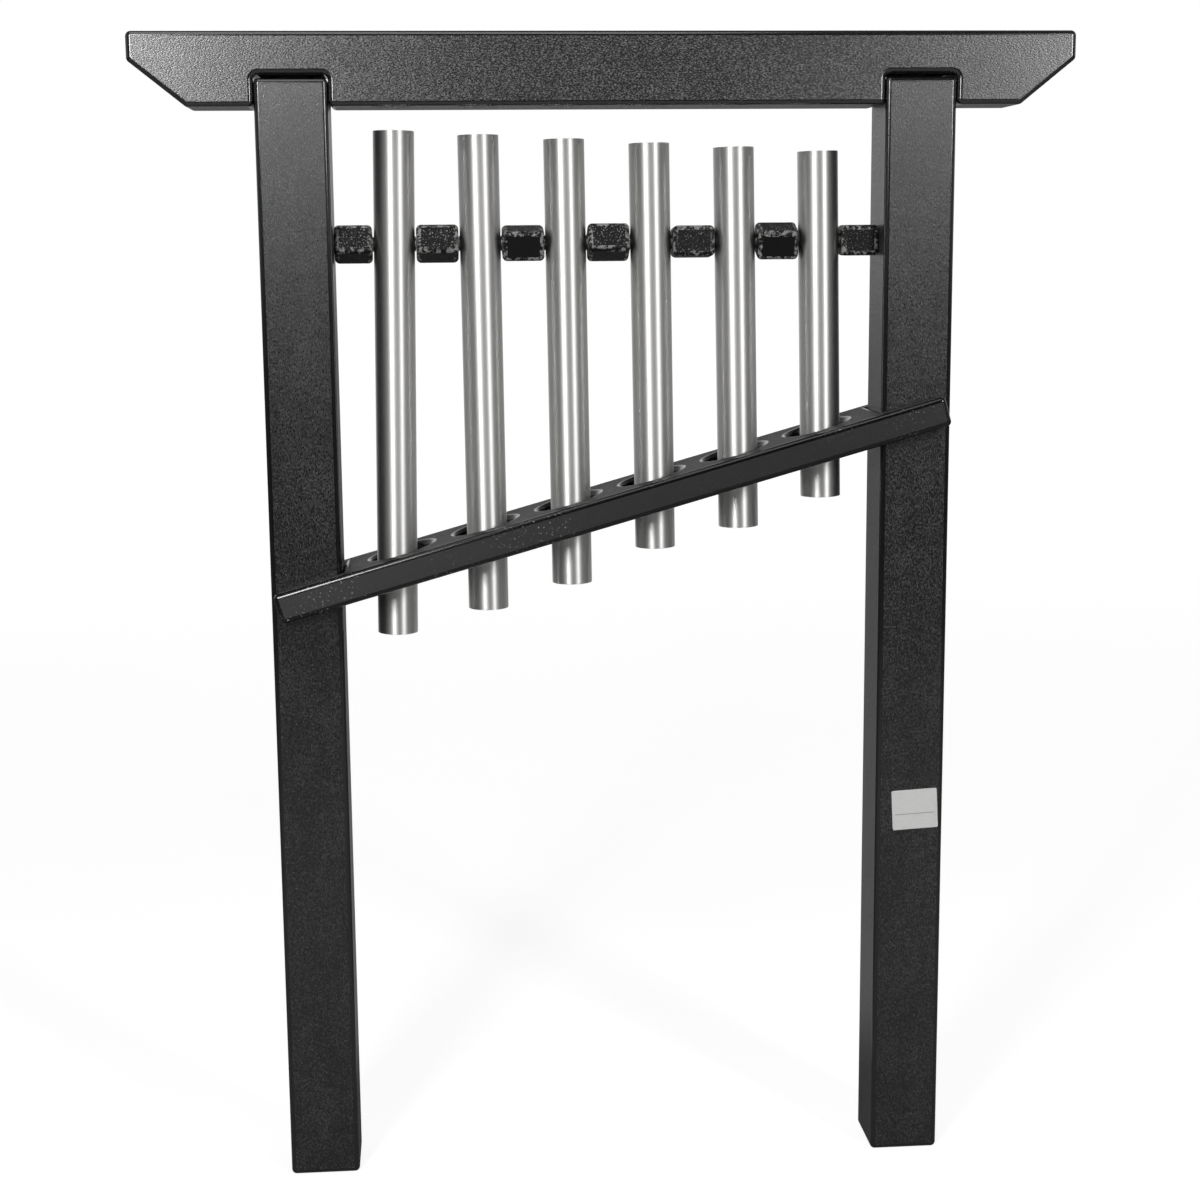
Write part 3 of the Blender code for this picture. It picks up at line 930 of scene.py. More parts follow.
@dataclass(frozen=True)
class BlockFinish:
    """Black plastic of the spacer blocks: painted highlight flecks on top, and rubbed edges that
    are partly painted highlight.

    Attributes:
        name: the material's name.
        dark: the plastic's colour.
        pale: colour of the painted highlight flecks and of the rubbed spots.
        mottle: mottled spots in a metre.
        flecks: painted highlight flecks in a metre, on the faces that face up.
        rubs_and_edge_highlights: rubbed spots on the edges, partly a painted highlight, in a
            metre of edge.
        rub_and_highlight_share: how pale the rubbed spots, partly painted highlight, are.
    """

    name: str = "block_black_flecked"
    dark: Colour = (0.004, 0.004, 0.004)
    pale: Colour = (0.25, 0.25, 0.245)
    mottle: float = 260.0
    flecks: float = 520.0
    rubs_and_edge_highlights: float = 160.0
    rub_and_highlight_share: float = 0.85

    def build(self) -> bpy.types.Material:
        """Make the material.

        Returns:
            The material.
        """
        s = Shader(self.name)
        mottle = s.noise(self.mottle, 3.0, 0.6)
        # Pale flecks, kept to the faces that face up: a painted highlight on the blocks' tops.
        specks_and_glints = s.span(s.noise(self.flecks, 2.0, 0.55), 0.60, 0.66)
        specks_and_glints = s.combine("MULTIPLY", specks_and_glints, s.facing_up(-0.15, 0.25))
        specks_and_glints = s.combine("MULTIPLY", specks_and_glints, s.span(mottle, 0.35, 0.55))
        # Pale rubs on the rounded edges: partly wear, partly a painted highlight on the edges.
        rubs_and_edge_highlights = s.span(s.noise(self.rubs_and_edge_highlights, 4.0, 0.7), 0.50, 0.56)
        rubs_and_edge_highlights = s.combine("MULTIPLY", s.attribute("routed"), rubs_and_edge_highlights)
        colour = s.blend(s.combine("MULTIPLY", rubs_and_edge_highlights, self.rub_and_highlight_share),
                         s.blend(specks_and_glints, self.dark, self.pale), self.pale)
        return s.dress(Base_Color=colour, Roughness=s.span(mottle, 0.3, 0.7, 0.45, 0.65),
                       Normal=s.relief(mottle, 0.0002, 0.3), IOR=1.49, Specular_IOR_Level=0.2)


@dataclass(frozen=True)
class SatinTubeFinish:
    """Satin aluminium tube: fine lines round it, which draw highlights out along it.

    Attributes:
        name: the material's name.
        colour: the clean metal's.
        smudge: colour of the long streaks that handling leaves.
        lines: grains in a metre along X, Y and Z, for the lines round it.
        streaks: the same for the streaks along it.
    """

    name: str = "satin_drawn_aluminium"
    colour: Colour = (0.91, 0.905, 0.89)
    smudge: Colour = (0.83, 0.83, 0.82)
    lines: tuple[float, float, float] = (6.0, 6.0, 1800.0)
    streaks: tuple[float, float, float] = (380.0, 380.0, 0.8)

    def build(self) -> bpy.types.Material:
        """Make the material.

        Returns:
            The material.
        """
        s = Shader(self.name)
        lines = s.noise(1.0, 3.0, 0.6, s.stretched(self.lines))
        streaks = s.noise(1.0, 2.0, 0.5, s.stretched(self.streaks))
        return s.dress(Base_Color=s.blend(s.span(streaks, 0.42, 0.72), self.colour, self.smudge),
                       Metallic=1.0, Roughness=s.span(lines, 0.3, 0.7, 0.53, 0.57),
                       Anisotropic=0.9, Tangent=s.upright(),
                       Normal=s.relief(lines, 0.00002, 0.2))


@dataclass(frozen=True)
class SteelFinish:
    """Plain stainless steel of the rod, the nuts, the bolts and the screws.

    Attributes:
        name: the material's name.
        colour: the clean steel's.
        worn: the dull spots'.
        grease: the near-black painted shade on a bolt below the given height.
        shade_painted_below: height under which a bolt's steel is painted near-black as shade, or
            nothing.
        wear: dull spots in a metre.
        grains: grains in a metre of the turned surface.
    """

    name: str = "stainless_turned"
    colour: Colour = (0.56, 0.555, 0.54)
    worn: Colour = (0.42, 0.42, 0.41)
    grease: Colour = (0.012, 0.012, 0.011)
    shade_painted_below: float = 0.0
    wear: float = 140.0
    grains: float = 900.0

    def build(self) -> bpy.types.Material:
        """Make the material.

        Returns:
            The material.
        """
        s = Shader(self.name)
        wear = s.noise(self.wear, 4.0, 0.6)
        colour = s.blend(s.span(wear, 0.4, 0.8), self.colour, self.worn)
        rough = s.span(wear, 0.3, 0.7, 0.22, 0.36)
        # Below the given height the steel is painted near-black and dull: painted shade on the
        # bolts where they show in the gap over each post.
        if self.shade_painted_below > 0.0:
            height = s.axis(s.coordinates, "Z")
            clean = s.span(height, self.shade_painted_below, self.shade_painted_below + 0.001)
            colour = s.blend(clean, self.grease, colour)
            rough = s.span(clean, 0.0, 1.0, 0.7, rough)
        return s.dress(Base_Color=colour, Metallic=1.0, Roughness=rough,
                       Normal=s.relief(s.noise(self.grains, 2.0, 0.5), 0.00005, 0.4))


@dataclass(frozen=True)
class RubberFinish:
    """Matte black rubber of the bushes, dusty in places.

    Attributes:
        name: the material's name.
        colour: the clean rubber's.
        dusty: colour under dust.
        dust: dusty spots in a metre.
    """

    name: str = "bush_rubber"
    colour: Colour = (0.012, 0.012, 0.012)
    dusty: Colour = (0.05, 0.05, 0.048)
    dust: float = 240.0

    def build(self) -> bpy.types.Material:
        """Make the material.

        Returns:
            The material.
        """
        s = Shader(self.name)
        dust = s.noise(self.dust, 4.0, 0.6)
        return s.dress(Base_Color=s.blend(s.span(dust, 0.45, 0.75), self.colour, self.dusty),
                       Roughness=s.span(dust, 0.3, 0.7, 0.6, 0.8),
                       Normal=s.relief(dust, 0.0002, 0.3))


@dataclass(frozen=True)
class PlateFinish:
    """The label's plastic film, with soft scuffs.

    Attributes:
        name: the material's name.
        colour: the clean film's.
        worn_share: how much of the colour is left under a scuff.
        scuffs: scuffs in a metre along X, Y and Z.
    """

    name: str = "label_pale_grey"
    colour: Colour = (0.66, 0.66, 0.65)
    worn_share: float = 0.93
    scuffs: tuple[float, float, float] = (90.0, 90.0, 260.0)

    def build(self) -> bpy.types.Material:
        """Make the material.

        Returns:
            The material.
        """
        s = Shader(self.name)
        scuff = s.noise(1.0, 4.0, 0.6, s.stretched(self.scuffs))
        worn = tuple(self.worn_share * part for part in self.colour)
        return s.dress(Base_Color=s.blend(s.span(scuff, 0.45, 0.75), self.colour, worn),
                       Roughness=s.span(scuff, 0.3, 0.7, 0.40, 0.5),
                       Normal=s.relief(scuff, 0.00005, 0.1))


# Sub-assemblies


@dataclass
class Stock:
    """Sizes that several sub-assemblies share, the same as the solids'.

    Attributes:
        lumber: width and depth of the posts and of the beam.
        edge: radius that the router leaves.
        inner_half: from the middle to a post's inner side.
        post_length: length of a post, which stands on the ground.
        rod_radius: the rod's radius.
        rod_height: height of its axis.
        tubes: how many tubes hang on it.
        tube_pitch: from one tube to the next.
        tube_radius: a tube's outer radius.
        rail_slope: the rail's slope, in radians.
    """

    lumber: float = 0.0889
    edge: float = 0.00635
    inner_half: float = 0.34105
    post_length: float = 1.4025
    rod_radius: float = 0.00635
    rod_height: float = 1.2043
    tubes: int = 6
    tube_pitch: float = 0.1065
    tube_radius: float = 0.0254
    rail_slope: float = RAIL_SLOPE

    @property
    def outer_half(self) -> float:
        """From the middle to a post's outer side."""
        return self.inner_half + self.lumber

    @property
    def post_x(self) -> float:
        """From the middle to a post's axis."""
        return self.inner_half + self.lumber / 2.0

    def tube_x(self, number: int) -> float:
        """X of a tube's place on the rod, counted from 1."""
        return (number - (self.tubes + 1) / 2.0) * self.tube_pitch


@dataclass
class LumberFrame:
    """The two posts, the notched beam and the bored rail.

    Attributes:
        stock: the shared sizes.
        post_top_gap: the dark gap over each post, under the notch's ceiling.
        notch_depth: depth of the beam's notches.
        notch_radius: radius of the beam's corners, the notches' among them.
        overhang: how far the beam reaches past a post.
        end_height: height of the beam's upright end, above the cut.
        cut_back: how far the cut goes back along the beam's underside.
        recess_radius: radius of the recess for the rod's nut.
        recess_depth: its depth.
        pocket_radius: radius of the pockets in the beam's top.
        pocket_depth: their depth.
        bolt_spacing: between the two bolts over a post.
        bolt_radius: radius of their holes.
        rail_thickness: the rail's thickness.
        rail_width: its width, to the front and the back of the posts.
        rail_top: height of its top at X = 0.
        rail_inset: how far its ends stop short of the posts' outer sides.
        rail_bore: radius of the bores that the tubes pass through.
        rail_saw: how far the rail's drills reach up and down and its saw outwards.
        fork_height: height of the block that cuts each fork.
        screw_spacing: between the two screws in a back prong.
        screw_pocket: radius of their pockets.
        screw_pocket_depth: the pockets' depth.
        screw_radius: radius of their holes.
        screw_start: Y, inside the fork, that a screw's drill starts from.
    """

    stock: Stock
    post_top_gap: float = 0.0043
    notch_depth: float = 0.0381
    notch_radius: float = 0.0066
    overhang: float = 0.1492
    end_height: float = 0.0340
    cut_back: float = 0.0685
    recess_radius: float = 0.01915
    recess_depth: float = 0.0254
    pocket_radius: float = 0.01265
    pocket_depth: float = 0.0127
    bolt_spacing: float = 0.0445
    bolt_radius: float = 0.00505
    rail_thickness: float = 0.0381
    rail_width: float = 0.1397
    rail_top: float = 0.8950
    rail_inset: float = 0.0080
    rail_bore: float = 0.0381
    rail_saw: float = 0.0800
    fork_height: float = 0.3600
    screw_spacing: float = 0.0340
    screw_pocket: float = 0.0095
    screw_pocket_depth: float = 0.0080
    screw_radius: float = 0.0035
    screw_start: float = 0.0300

    @property
    def beam_bottom(self) -> float:
        """Height of the beam's underside."""
        return self.stock.post_length + self.post_top_gap - self.notch_depth

    @property
    def beam_top(self) -> float:
        """Height of the beam's top."""
        return self.beam_bottom + self.stock.lumber

    def rail_middle(self, x: float) -> float:
        """Height of the rail's middle plane at some X."""
        half = self.rail_thickness / 2.0 / math.cos(self.stock.rail_slope)
        return self.rail_top - half + x * math.tan(self.stock.rail_slope)

    def bolt_places(self, side: Side) -> list[float]:
        """X of the two bolts over one post."""
        return [side.value * self.stock.post_x + offset * self.bolt_spacing / 2.0
                for offset in (-1, 1)]

    def screw_places(self, side: Side) -> list[tuple[float, float]]:
        """List where the two screws sit in the rail's back prong at one post.

        Args:
            side: which post.

        Returns:
            The screws' places, as (x, z).
        """
        middle = side.value * (self.stock.inner_half + self.stock.outer_half
                               - self.rail_inset) / 2.0
        return [(x, self.rail_middle(x))
                for x in (middle - self.screw_spacing / 2.0, middle + self.screw_spacing / 2.0)]

    def post(self, side: Side) -> Workpiece:
        """Make one post: routed lumber with the rod's bore and its recess.

        Args:
            side: which post.

        Returns:
            The workpiece.
        """
        stock = self.stock
        square = rectangle(stock.lumber, stock.lumber, stock.edge)
        surface = routed_slab(square, stock.post_length, stock.edge, Plane.XY)
        middle = Vector((side.value * stock.post_x, 0.0, stock.post_length / 2.0))
        inside, floor, outside = (
            Vector((side.value * x, 0.0, stock.rod_height))
            for x in (stock.inner_half - OVERRUN, stock.outer_half - self.recess_depth,
                      stock.outer_half + OVERRUN))
        return Workpiece(f"{side.label}_post_routed", surface.moved(Matrix.Translation(middle)),
                         [drum(stock.rod_radius + FIT_GAP, inside, outside),
                          drum(self.recess_radius, floor, outside)],
                         sawn_levels=(0.0, stock.post_length))

    def beam(self) -> Workpiece:
        """Make the top beam: a notched outline with cut-back ends and bolt pockets.

        Returns:
            The workpiece.
        """
        stock = self.stock
        half = stock.outer_half + self.overhang
        outside, inside = stock.outer_half + FIT_GAP, stock.inner_half - FIT_GAP
        bottom, top = self.beam_bottom, self.beam_top
        ceiling = bottom + self.notch_depth
        right = [(inside, bottom), (inside, ceiling), (outside, ceiling), (outside, bottom),
                 (half - self.cut_back, bottom), (half, top - self.end_height), (half, top)]
        left = [(-x, z) for x, z in reversed(right)]
        corners = np.array([(x, z, self.notch_radius) for x, z in right + left])
        cutters = []
        for side in Side:
            for x in self.bolt_places(side):
                below, floor, above = (
                    Vector((x, 0.0, z))
                    for z in (ceiling - OVERRUN / 2.0, top - self.pocket_depth, top + OVERRUN))
                cutters.append(drum(self.pocket_radius, floor, above))
                cutters.append(drum(self.bolt_radius, below, above, Steps.NARROW))
        surface = routed_slab(corners, stock.lumber, stock.edge, Plane.XZ)
        return Workpiece("top_beam_routed", surface, cutters, sawn_levels=(ceiling,))

    def rail_bores(self) -> list[Surface]:
        """Make the drills for the rail's bores, which stand plumb.

        Returns:
            A drill for each tube, turned by half a step, which keeps its edges off the planes
            that split the board.
        """
        half_step = Matrix.Rotation(math.pi / Steps.BORE, 4, "Z")
        drill = turned(np.array([[self.rail_bore, -self.rail_saw],
                                 [self.rail_bore, self.rail_saw]]), Steps.BORE, closed=False)
        places = [self.stock.tube_x(number) for number in range(1, self.stock.tubes + 1)]
        return [drill.moved(Matrix.Translation((x, 0.0, self.rail_middle(x))) @ half_step)
                for x in places]

    def rail_fork(self, side: Side) -> Surface:
        """Make the block that cuts the fork for one post.

        Args:
            side: which post.

        Returns:
            The block, which clears the post by the fit's gap.
        """
        inside = self.stock.inner_half - FIT_GAP
        outside = self.stock.outer_half + self.rail_saw
        block = routed_slab(rectangle(outside - inside, self.stock.lumber + 2.0 * FIT_GAP, 0.0),
                            self.fork_height, 0.0, Plane.XY, 2)
        x = side.value * self.stock.post_x
        return block.moved(Matrix.Translation((side.value * (inside + outside) / 2.0, 0.0,
                                               self.rail_middle(x))))

    def rail_screw_drills(self, x: float, z: float) -> list[Surface]:
        """Make the drills for one screw in the rail's back prong.

        Args:
            x: the screw's X.
            z: its height.

        Returns:
            The pocket's drill and the hole's.
        """
        back = self.rail_width / 2.0
        behind = Vector((x, back + OVERRUN, z))
        return [drum(self.screw_pocket, Vector((x, back - self.screw_pocket_depth, z)), behind,
                     Steps.MIDDLE),
                drum(self.screw_radius, Vector((x, self.screw_start, z)), behind, Steps.NARROW)]

    def rail(self) -> Workpiece:
        """Make the sloping rail: a board forked round the posts, bored plumb, then routed.

        Returns:
            The workpiece. Its faces are split across each bore and each screw, and along its
            middle, before they are cut.
        """
        stock = self.stock
        length = 2.0 * (stock.outer_half - self.rail_inset) / math.cos(stock.rail_slope)
        board = routed_slab(rectangle(length, self.rail_width, 0.0), self.rail_thickness, 0.0,
                            Plane.XY, 2)
        place = (Matrix.Translation((0.0, 0.0, self.rail_middle(0.0)))
                 @ Matrix.Rotation(-stock.rail_slope, 4, "Y"))
        cutters = self.rail_bores()
        screw_drills = []
        scores = [(ALONG_X * stock.tube_x(number), ALONG_X)
                  for number in range(1, stock.tubes + 1)]
        scores.append((Vector(), ALONG_Y))
        for side in Side:
            cutters.append(self.rail_fork(side))
            for x, z in self.screw_places(side):
                scores.append((ALONG_X * x, ALONG_X))
                screw_drills += self.rail_screw_drills(x, z)
        return Workpiece("lower_rail_routed", board.moved(place), cutters, stock.edge,
                         screw_drills, scores=scores)

    def build(self) -> None:
        """Build, dress and place the four pieces of lumber."""
        upright = LumberFinish("lumber_upright", Grain.UPRIGHT).build()
        # All three are the same lumber: the beam's copy is given paler fibres than the posts', a
        # painted highlight, and the rail's copy darker ones, painted shade.
        level = LumberFinish("lumber_level_painted_lit", Grain.LEVEL, light=(0.110, 0.110, 0.110),
                             gloss=(0.28, 0.48), ior=1.62).build()
        sloped = LumberFinish("lumber_sloped_painted_shade", Grain.SLOPED, light=(0.010, 0.010, 0.010),
                              gloss=(0.46, 0.60), ior=1.38, flecked=True).build()
        for side in Side:
            fit_to_frame(self.post(side).finished(), "frame", Slot.LUMBER, upright,
                         f"{side.label}_post")
        fit_to_frame(self.beam().finished(), "frame", Slot.LUMBER, level, "top_beam")
        fit_to_frame(self.rail().finished(), "frame", Slot.LUMBER, sloped, "lower_rail")


@dataclass
class ChimeTubes:
    """The six tubes with their rubber bushes.

    Attributes:
        stock: the shared sizes.
        wall: thickness of a tube's wall.
        rim: radius of its eased rims.
        rim_steps: points on each rim's quarter circle.
        ring_step: between the rings along its sides.
        lengths: the tubes' lengths, from the left.
        first_rise: how far the first tube stands above the rod.
        rise_step: how much less each next one does.
        leans: how each tube leans, in degrees.
        bush_bore: radius of a bush's bore.
        bush_body: radius of its body, in the tube's wall.
        bush_flange: radius of its flange.
        flange_thickness: the flange's thickness.
        bush_inside: how far the body reaches past the wall.
        bush_ease: size of its eased edges.
    """

    stock: Stock
    wall: float = 0.0032
    rim: float = 0.0006
    rim_steps: int = 4
    ring_step: float = 0.012
    lengths: tuple[float, ...] = (0.6263, 0.5917, 0.5556, 0.5064, 0.4763, 0.4337)
    first_rise: float = 0.1372
    rise_step: float = 0.0054
    leans: tuple[float, ...] = (0.88, -0.32, -0.51, -0.69, -0.94, -1.04)
    bush_bore: float = 0.00665
    bush_body: float = 0.00785
    bush_flange: float = 0.00935
    flange_thickness: float = 0.0010
    bush_inside: float = 0.0020
    bush_ease: float = 0.0003

    def tube(self, number: int) -> Workpiece:
        """Make one tube: a ring profile with eased rims, turned, then drilled across.

        Args:
            number: the tube's number from the left.

        Returns:
            The workpiece, hung on the rod at its own lean.
        """
        stock = self.stock
        outer, inner, rim = stock.tube_radius, stock.tube_radius - self.wall, self.rim
        top = self.first_rise - (number - 1) * self.rise_step
        bottom = top - self.lengths[number - 1]
        # Rings along the sides keep the faces short, so that the shading stays true round the
        # drilled holes.
        rings = np.linspace(top - rim, bottom + rim, round((top - bottom) / self.ring_step))
        rings = rings[1:-1, None] * [0.0, 1.0]
        profile = np.concatenate([
            arc((outer - rim, top - rim), rim, 90.0, 0.0, self.rim_steps),
            rings + [outer, 0.0],
            arc((outer - rim, bottom + rim), rim, 0.0, -90.0, self.rim_steps),
            arc((inner + rim, bottom + rim), rim, 270.0, 180.0, self.rim_steps),
            rings[::-1] + [inner, 0.0],
            arc((inner + rim, top - rim), rim, 180.0, 90.0, self.rim_steps)])
        hinge = Matrix.Translation((stock.tube_x(number), 0.0, stock.rod_height))
        lean = Matrix.Rotation(math.radians(self.leans[number - 1]), 4, "Y")
        reach = ALONG_X * (2.0 * outer)
        drill = drum(self.bush_body + FIT_GAP, -reach, reach, Steps.MIDDLE)
        surface = turned(profile, Steps.TUBE, closed=True).moved(hinge @ lean)
        return Workpiece(f"chime_tube_{number}_drawn", surface, [drill.moved(hinge)])

    def bush(self, number: int, side: Side) -> Workpiece:
        """Make one bush: a soft-lipped flange that hugs the tube, and a body in its bore.

        The turned ring is bent to the tube by drawing each point in by the tube's sagitta,
        radius - sqrt(radius^2 - y^2), where it lies outside the wall, and by a share of it
        inside.

        Args:
            number: the tube's number.
            side: the side of the tube it sits in.

        Returns:
            The workpiece, in place.
        """
        stock, bore, body, ease = self.stock, self.bush_bore, self.bush_body, self.bush_ease
        lip = self.flange_thickness / 2.0
        seat = stock.tube_radius + FIT_GAP
        end = seat + self.flange_thickness
        inside = stock.tube_radius - self.wall - self.bush_inside
        profile = np.concatenate([
            np.array([[bore, end - ease], [bore + ease, end]]),
            arc((self.bush_flange - lip, end - lip), lip, 90.0, -90.0, 9),
            np.array([[body, seat], [body, inside + ease], [body - ease, inside],
                      [bore + ease, inside], [bore, inside + ease]])])
        ring = turned(profile, Steps.WIDE, closed=True)
        share = np.clip((ring.points[:, 2] - inside) / (seat - inside), 0.0, 1.0)
        # In the bush's own axes its Y runs across the tube.
        sagitta = stock.tube_radius - np.sqrt(stock.tube_radius ** 2 - ring.points[:, 1] ** 2)
        ring.points[:, 2] -= sagitta * share
        place = (Matrix.Translation((stock.tube_x(number), 0.0, stock.rod_height))
                 @ Matrix.Rotation(side.value * QUARTER_TURN, 4, "Y"))
        return Workpiece(f"bush_{number}_{side.label}", ring.moved(place))

    def build(self) -> None:
        """Build, dress and hang the tubes with their bushes."""
        satin = SatinTubeFinish().build()
        rubber = RubberFinish().build()
        for number in range(1, len(self.lengths) + 1):
            body = f"tube_{number}"
            fit_to_frame(self.tube(number).finished(), body, Slot.ALUMINIUM, satin,
                         f"chime_tube_{number}")
            for side in Side:
                fit_to_frame(self.bush(number, side).finished(), body, Slot.RUBBER, rubber,
                             f"tube_grommet_{number}_{side.label}")


@dataclass
class SpacerBlocks:
    """The seven loose blocks on the rod, each at its own turn.

    Attributes:
        stock: the shared sizes.
        section: a block's height and depth.
        edge: radius of its edges.
        length: its length, between two tubes.
        end_length: the length of the two blocks beside the posts.
        end_play: from these to the posts.
        bore: radius of a block's bore.
        turns: how each block is turned about the rod, in degrees.
    """

    stock: Stock
    section: float = 0.0381
    edge: float = 0.0060
    length: float = 0.0524
    end_length: float = 0.0470
    end_play: float = 0.00075
    bore: float = 0.00675
    turns: tuple[float, ...] = (-26.5, -26.0, 15.5, -25.5, -4.5, 22.0, 0.0)

    def block(self, number: int) -> Workpiece:
        """Make one block: a square bar with every edge rounded and a bore for the rod.

        Args:
            number: the block's number from the left.

        Returns:
            The workpiece, turned as it hangs.
        """
        last = len(self.turns)
        length = self.length
        x = (number - (last + 1) / 2.0) * self.stock.tube_pitch
        if number in (1, last):
            length = self.end_length
            x = math.copysign(self.stock.inner_half - self.end_play - length / 2.0, x)
        bar = routed_slab(rectangle(self.section, self.section, self.edge), length, self.edge,
                          Plane.YZ)
        turn = Matrix.Rotation(math.radians(self.turns[number - 1]), 4, "X")
        place = Matrix.Translation((x, 0.0, self.stock.rod_height))
        drill = drum(self.bore, ALONG_X * -length, ALONG_X * length, Steps.MIDDLE)
        return Workpiece(f"spacer_block_{number}_eased", bar.moved(place @ turn),
                         [drill.moved(place)])

    def build(self) -> None:
        """Build, dress and thread the blocks."""
        finish = BlockFinish().build()
        for number in range(1, len(self.turns) + 1):
            fit_to_frame(self.block(number).finished(), f"block_{number}", Slot.BLOCK, finish,
                         f"spacer_block_{number}")


@dataclass
class Hardware:
    """The rod with its washers and closed nuts, the beam's bolts and the rail's screws.

    Each turned fastener is a profile of (radius, height) about its own axis, which stands on
    the seat that it bears on and is then moved to its place.

    Attributes:
        stock: the shared sizes.
        lumber: the frame, whose recesses and pockets the fasteners sit in.
        rod_chamfer: depth and length of the rod's chamfered ends.
        rod_thread_length: length of the thread at each end.
        rod_thread: the thread's depth and pitch.
        rod_thread_step: between the rings along it.
        washer_width: width of a rod's washer's ring.
        washer_thickness: its thickness.
        nut_wall: a nut's wall at the middle of a flat.
        nut_height: height of its flats.
        nut_depth: how deep the rod goes in.
        nut_crown: thickness of its crown over the rod's end.
        nut_dome: the crown's radius over the flats' half width.
        nut_mouth: size of the bore's chamfer.
        nut_shoulder: height that the corners are cut back by, at both ends.
        nut_ease: how far the seat and the top stop short of the flats.
        bolt_radius: radius of a bolt's shank.
        bolt_flats: width across its head's flats.
        bolt_head: the head's height.
        bolt_dish: depth of the dish in its top.
        bolt_dish_rim: how far in from the flats the dish ends and its rim begins.
        bolt_shoulder: how far the head's top stops short of the flats, and its corners' drop.
        bolt_thread_length: length of the thread.
        bolt_thread: its depth and pitch.
        bolt_thread_step: between the rings along it.
        bolt_into_post: how deep its tip is in the post.
        bolt_washer_width: width of a bolt's washer's ring.
        bolt_washer_thickness: its thickness.
        screw_radius: radius of a screw's shank.
        screw_head_radius: its head's radius.
        screw_head: its head's height.
        screw_side: share of that height that the straight side has.
        screw_ease: size of the eased edge under the head.
        screw_into_post: how deep its tip is in the post.
        driver: the driver recess's middle radius, and how far its lobes swing from that.
        driver_depth: the recess's depth.
        driver_wall: width of its sloped wall.
        driver_reach: up to where the head has fine rings for it, and where the others begin.
        point: length of a bolt's and a screw's point.
    """

    stock: Stock
    lumber: LumberFrame
    rod_chamfer: tuple[float, float] = (0.0010, 0.0012)
    rod_thread_length: float = 0.0105
    rod_thread: tuple[float, float] = (0.00035, 0.0020)
    rod_thread_step: float = 0.0005
    washer_width: float = 0.0100
    washer_thickness: float = 0.0026
    nut_wall: float = 0.0030
    nut_height: float = 0.0110
    nut_depth: float = 0.0120
    nut_crown: float = 0.0025
    nut_dome: float = 0.94
    nut_mouth: float = 0.0009
    nut_shoulder: float = 0.0013
    nut_ease: tuple[float, float] = (0.0003, 0.0002)
    bolt_radius: float = 0.00475
    bolt_flats: float = 0.0143
    bolt_head: float = 0.0064
    bolt_dish: float = 0.0003
    bolt_dish_rim: tuple[float, float] = (0.0014, 0.0010)
    bolt_shoulder: tuple[float, float] = (0.0004, 0.0011)
    bolt_thread_length: float = 0.0450
    bolt_thread: tuple[float, float] = (0.0010, 0.0040)
    bolt_thread_step: float = 0.0010
    bolt_into_post: float = 0.0760
    bolt_washer_width: float = 0.0060
    bolt_washer_thickness: float = 0.0016
    screw_radius: float = 0.0032
    screw_head_radius: float = 0.0080
    screw_head: float = 0.0050
    screw_side: float = 0.45
    screw_ease: float = 0.0003
    screw_into_post: float = 0.0500
    driver: tuple[float, float] = (0.0022, 0.00045)
    driver_depth: float = 0.0026
    driver_wall: float = 0.0002
    driver_reach: tuple[float, float] = (0.0036, 0.0040)
    point: float = 0.0080

    @property
    def washer_seat(self) -> float:
        """X of the face that a rod's washer bears on."""
        return self.stock.outer_half - self.lumber.recess_depth + FIT_GAP

    @property
    def nut_seat(self) -> float:
        """X of the face that a nut bears on."""
        return self.washer_seat + self.washer_thickness + FIT_GAP

    @property
    def pocket_floor(self) -> float:
        """Height of the face that a bolt's washer bears on."""
        return self.lumber.beam_top - self.lumber.pocket_depth + FIT_GAP

    @property
    def bolt_seat(self) -> float:
        """Height of the face that a bolt's head bears on."""
        return self.pocket_floor + self.bolt_washer_thickness + FIT_GAP

    @property
    def screw_seat(self) -> float:
        """Y of the face that a screw's head bears on."""
        return self.lumber.rail_width / 2.0 - self.lumber.screw_pocket_depth + FIT_GAP

    def rod(self) -> Workpiece:
        """Make the rod: a turned bar with chamfered ends and cut threads inside the nuts.

        Returns:
            The workpiece, in place.
        """
        half, radius = self.nut_seat + self.nut_depth, self.stock.rod_radius
        run = np.arange(0.0, self.rod_thread_length, self.rod_thread_step)
        chamfer, chamfer_length = self.rod_chamfer
        end = np.stack([thread(run, radius, *self.rod_thread), half - chamfer_length - run],
                       axis=-1)
        end = np.concatenate([[[radius - chamfer, half]], end])
        profile = np.concatenate([end, end[::-1] * [1.0, -1.0]])
        place = (Matrix.Translation((0.0, 0.0, self.stock.rod_height))
                 @ Matrix.Rotation(QUARTER_TURN, 4, "Y"))
        return Workpiece("support_rod_turned", turned(profile, Steps.MIDDLE, False).moved(place))

    def washer(self, name: str, hole: float, width: float, thickness: float) -> Workpiece:
        """Make a flat washer, its rims rolled as stamping leaves them.

        Args:
            name: the piece's name.
            hole: the hole's radius.
            width: width of the ring.
            thickness: its thickness.

        Returns:
            The workpiece, standing on Z = 0.
        """
        rim = hole + width
        ease = thickness / 4.0
        small = ease / 2.0
        profile = np.concatenate([
            arc((rim - ease, thickness - ease), ease, 90.0, 0.0, 4),
            arc((rim - small, small), small, 0.0, -90.0, 3),
            np.array([[hole, 0.0], [hole, thickness - small], [hole + small, thickness]])])
        return Workpiece(name, turned(profile, Steps.WIDE, closed=True))

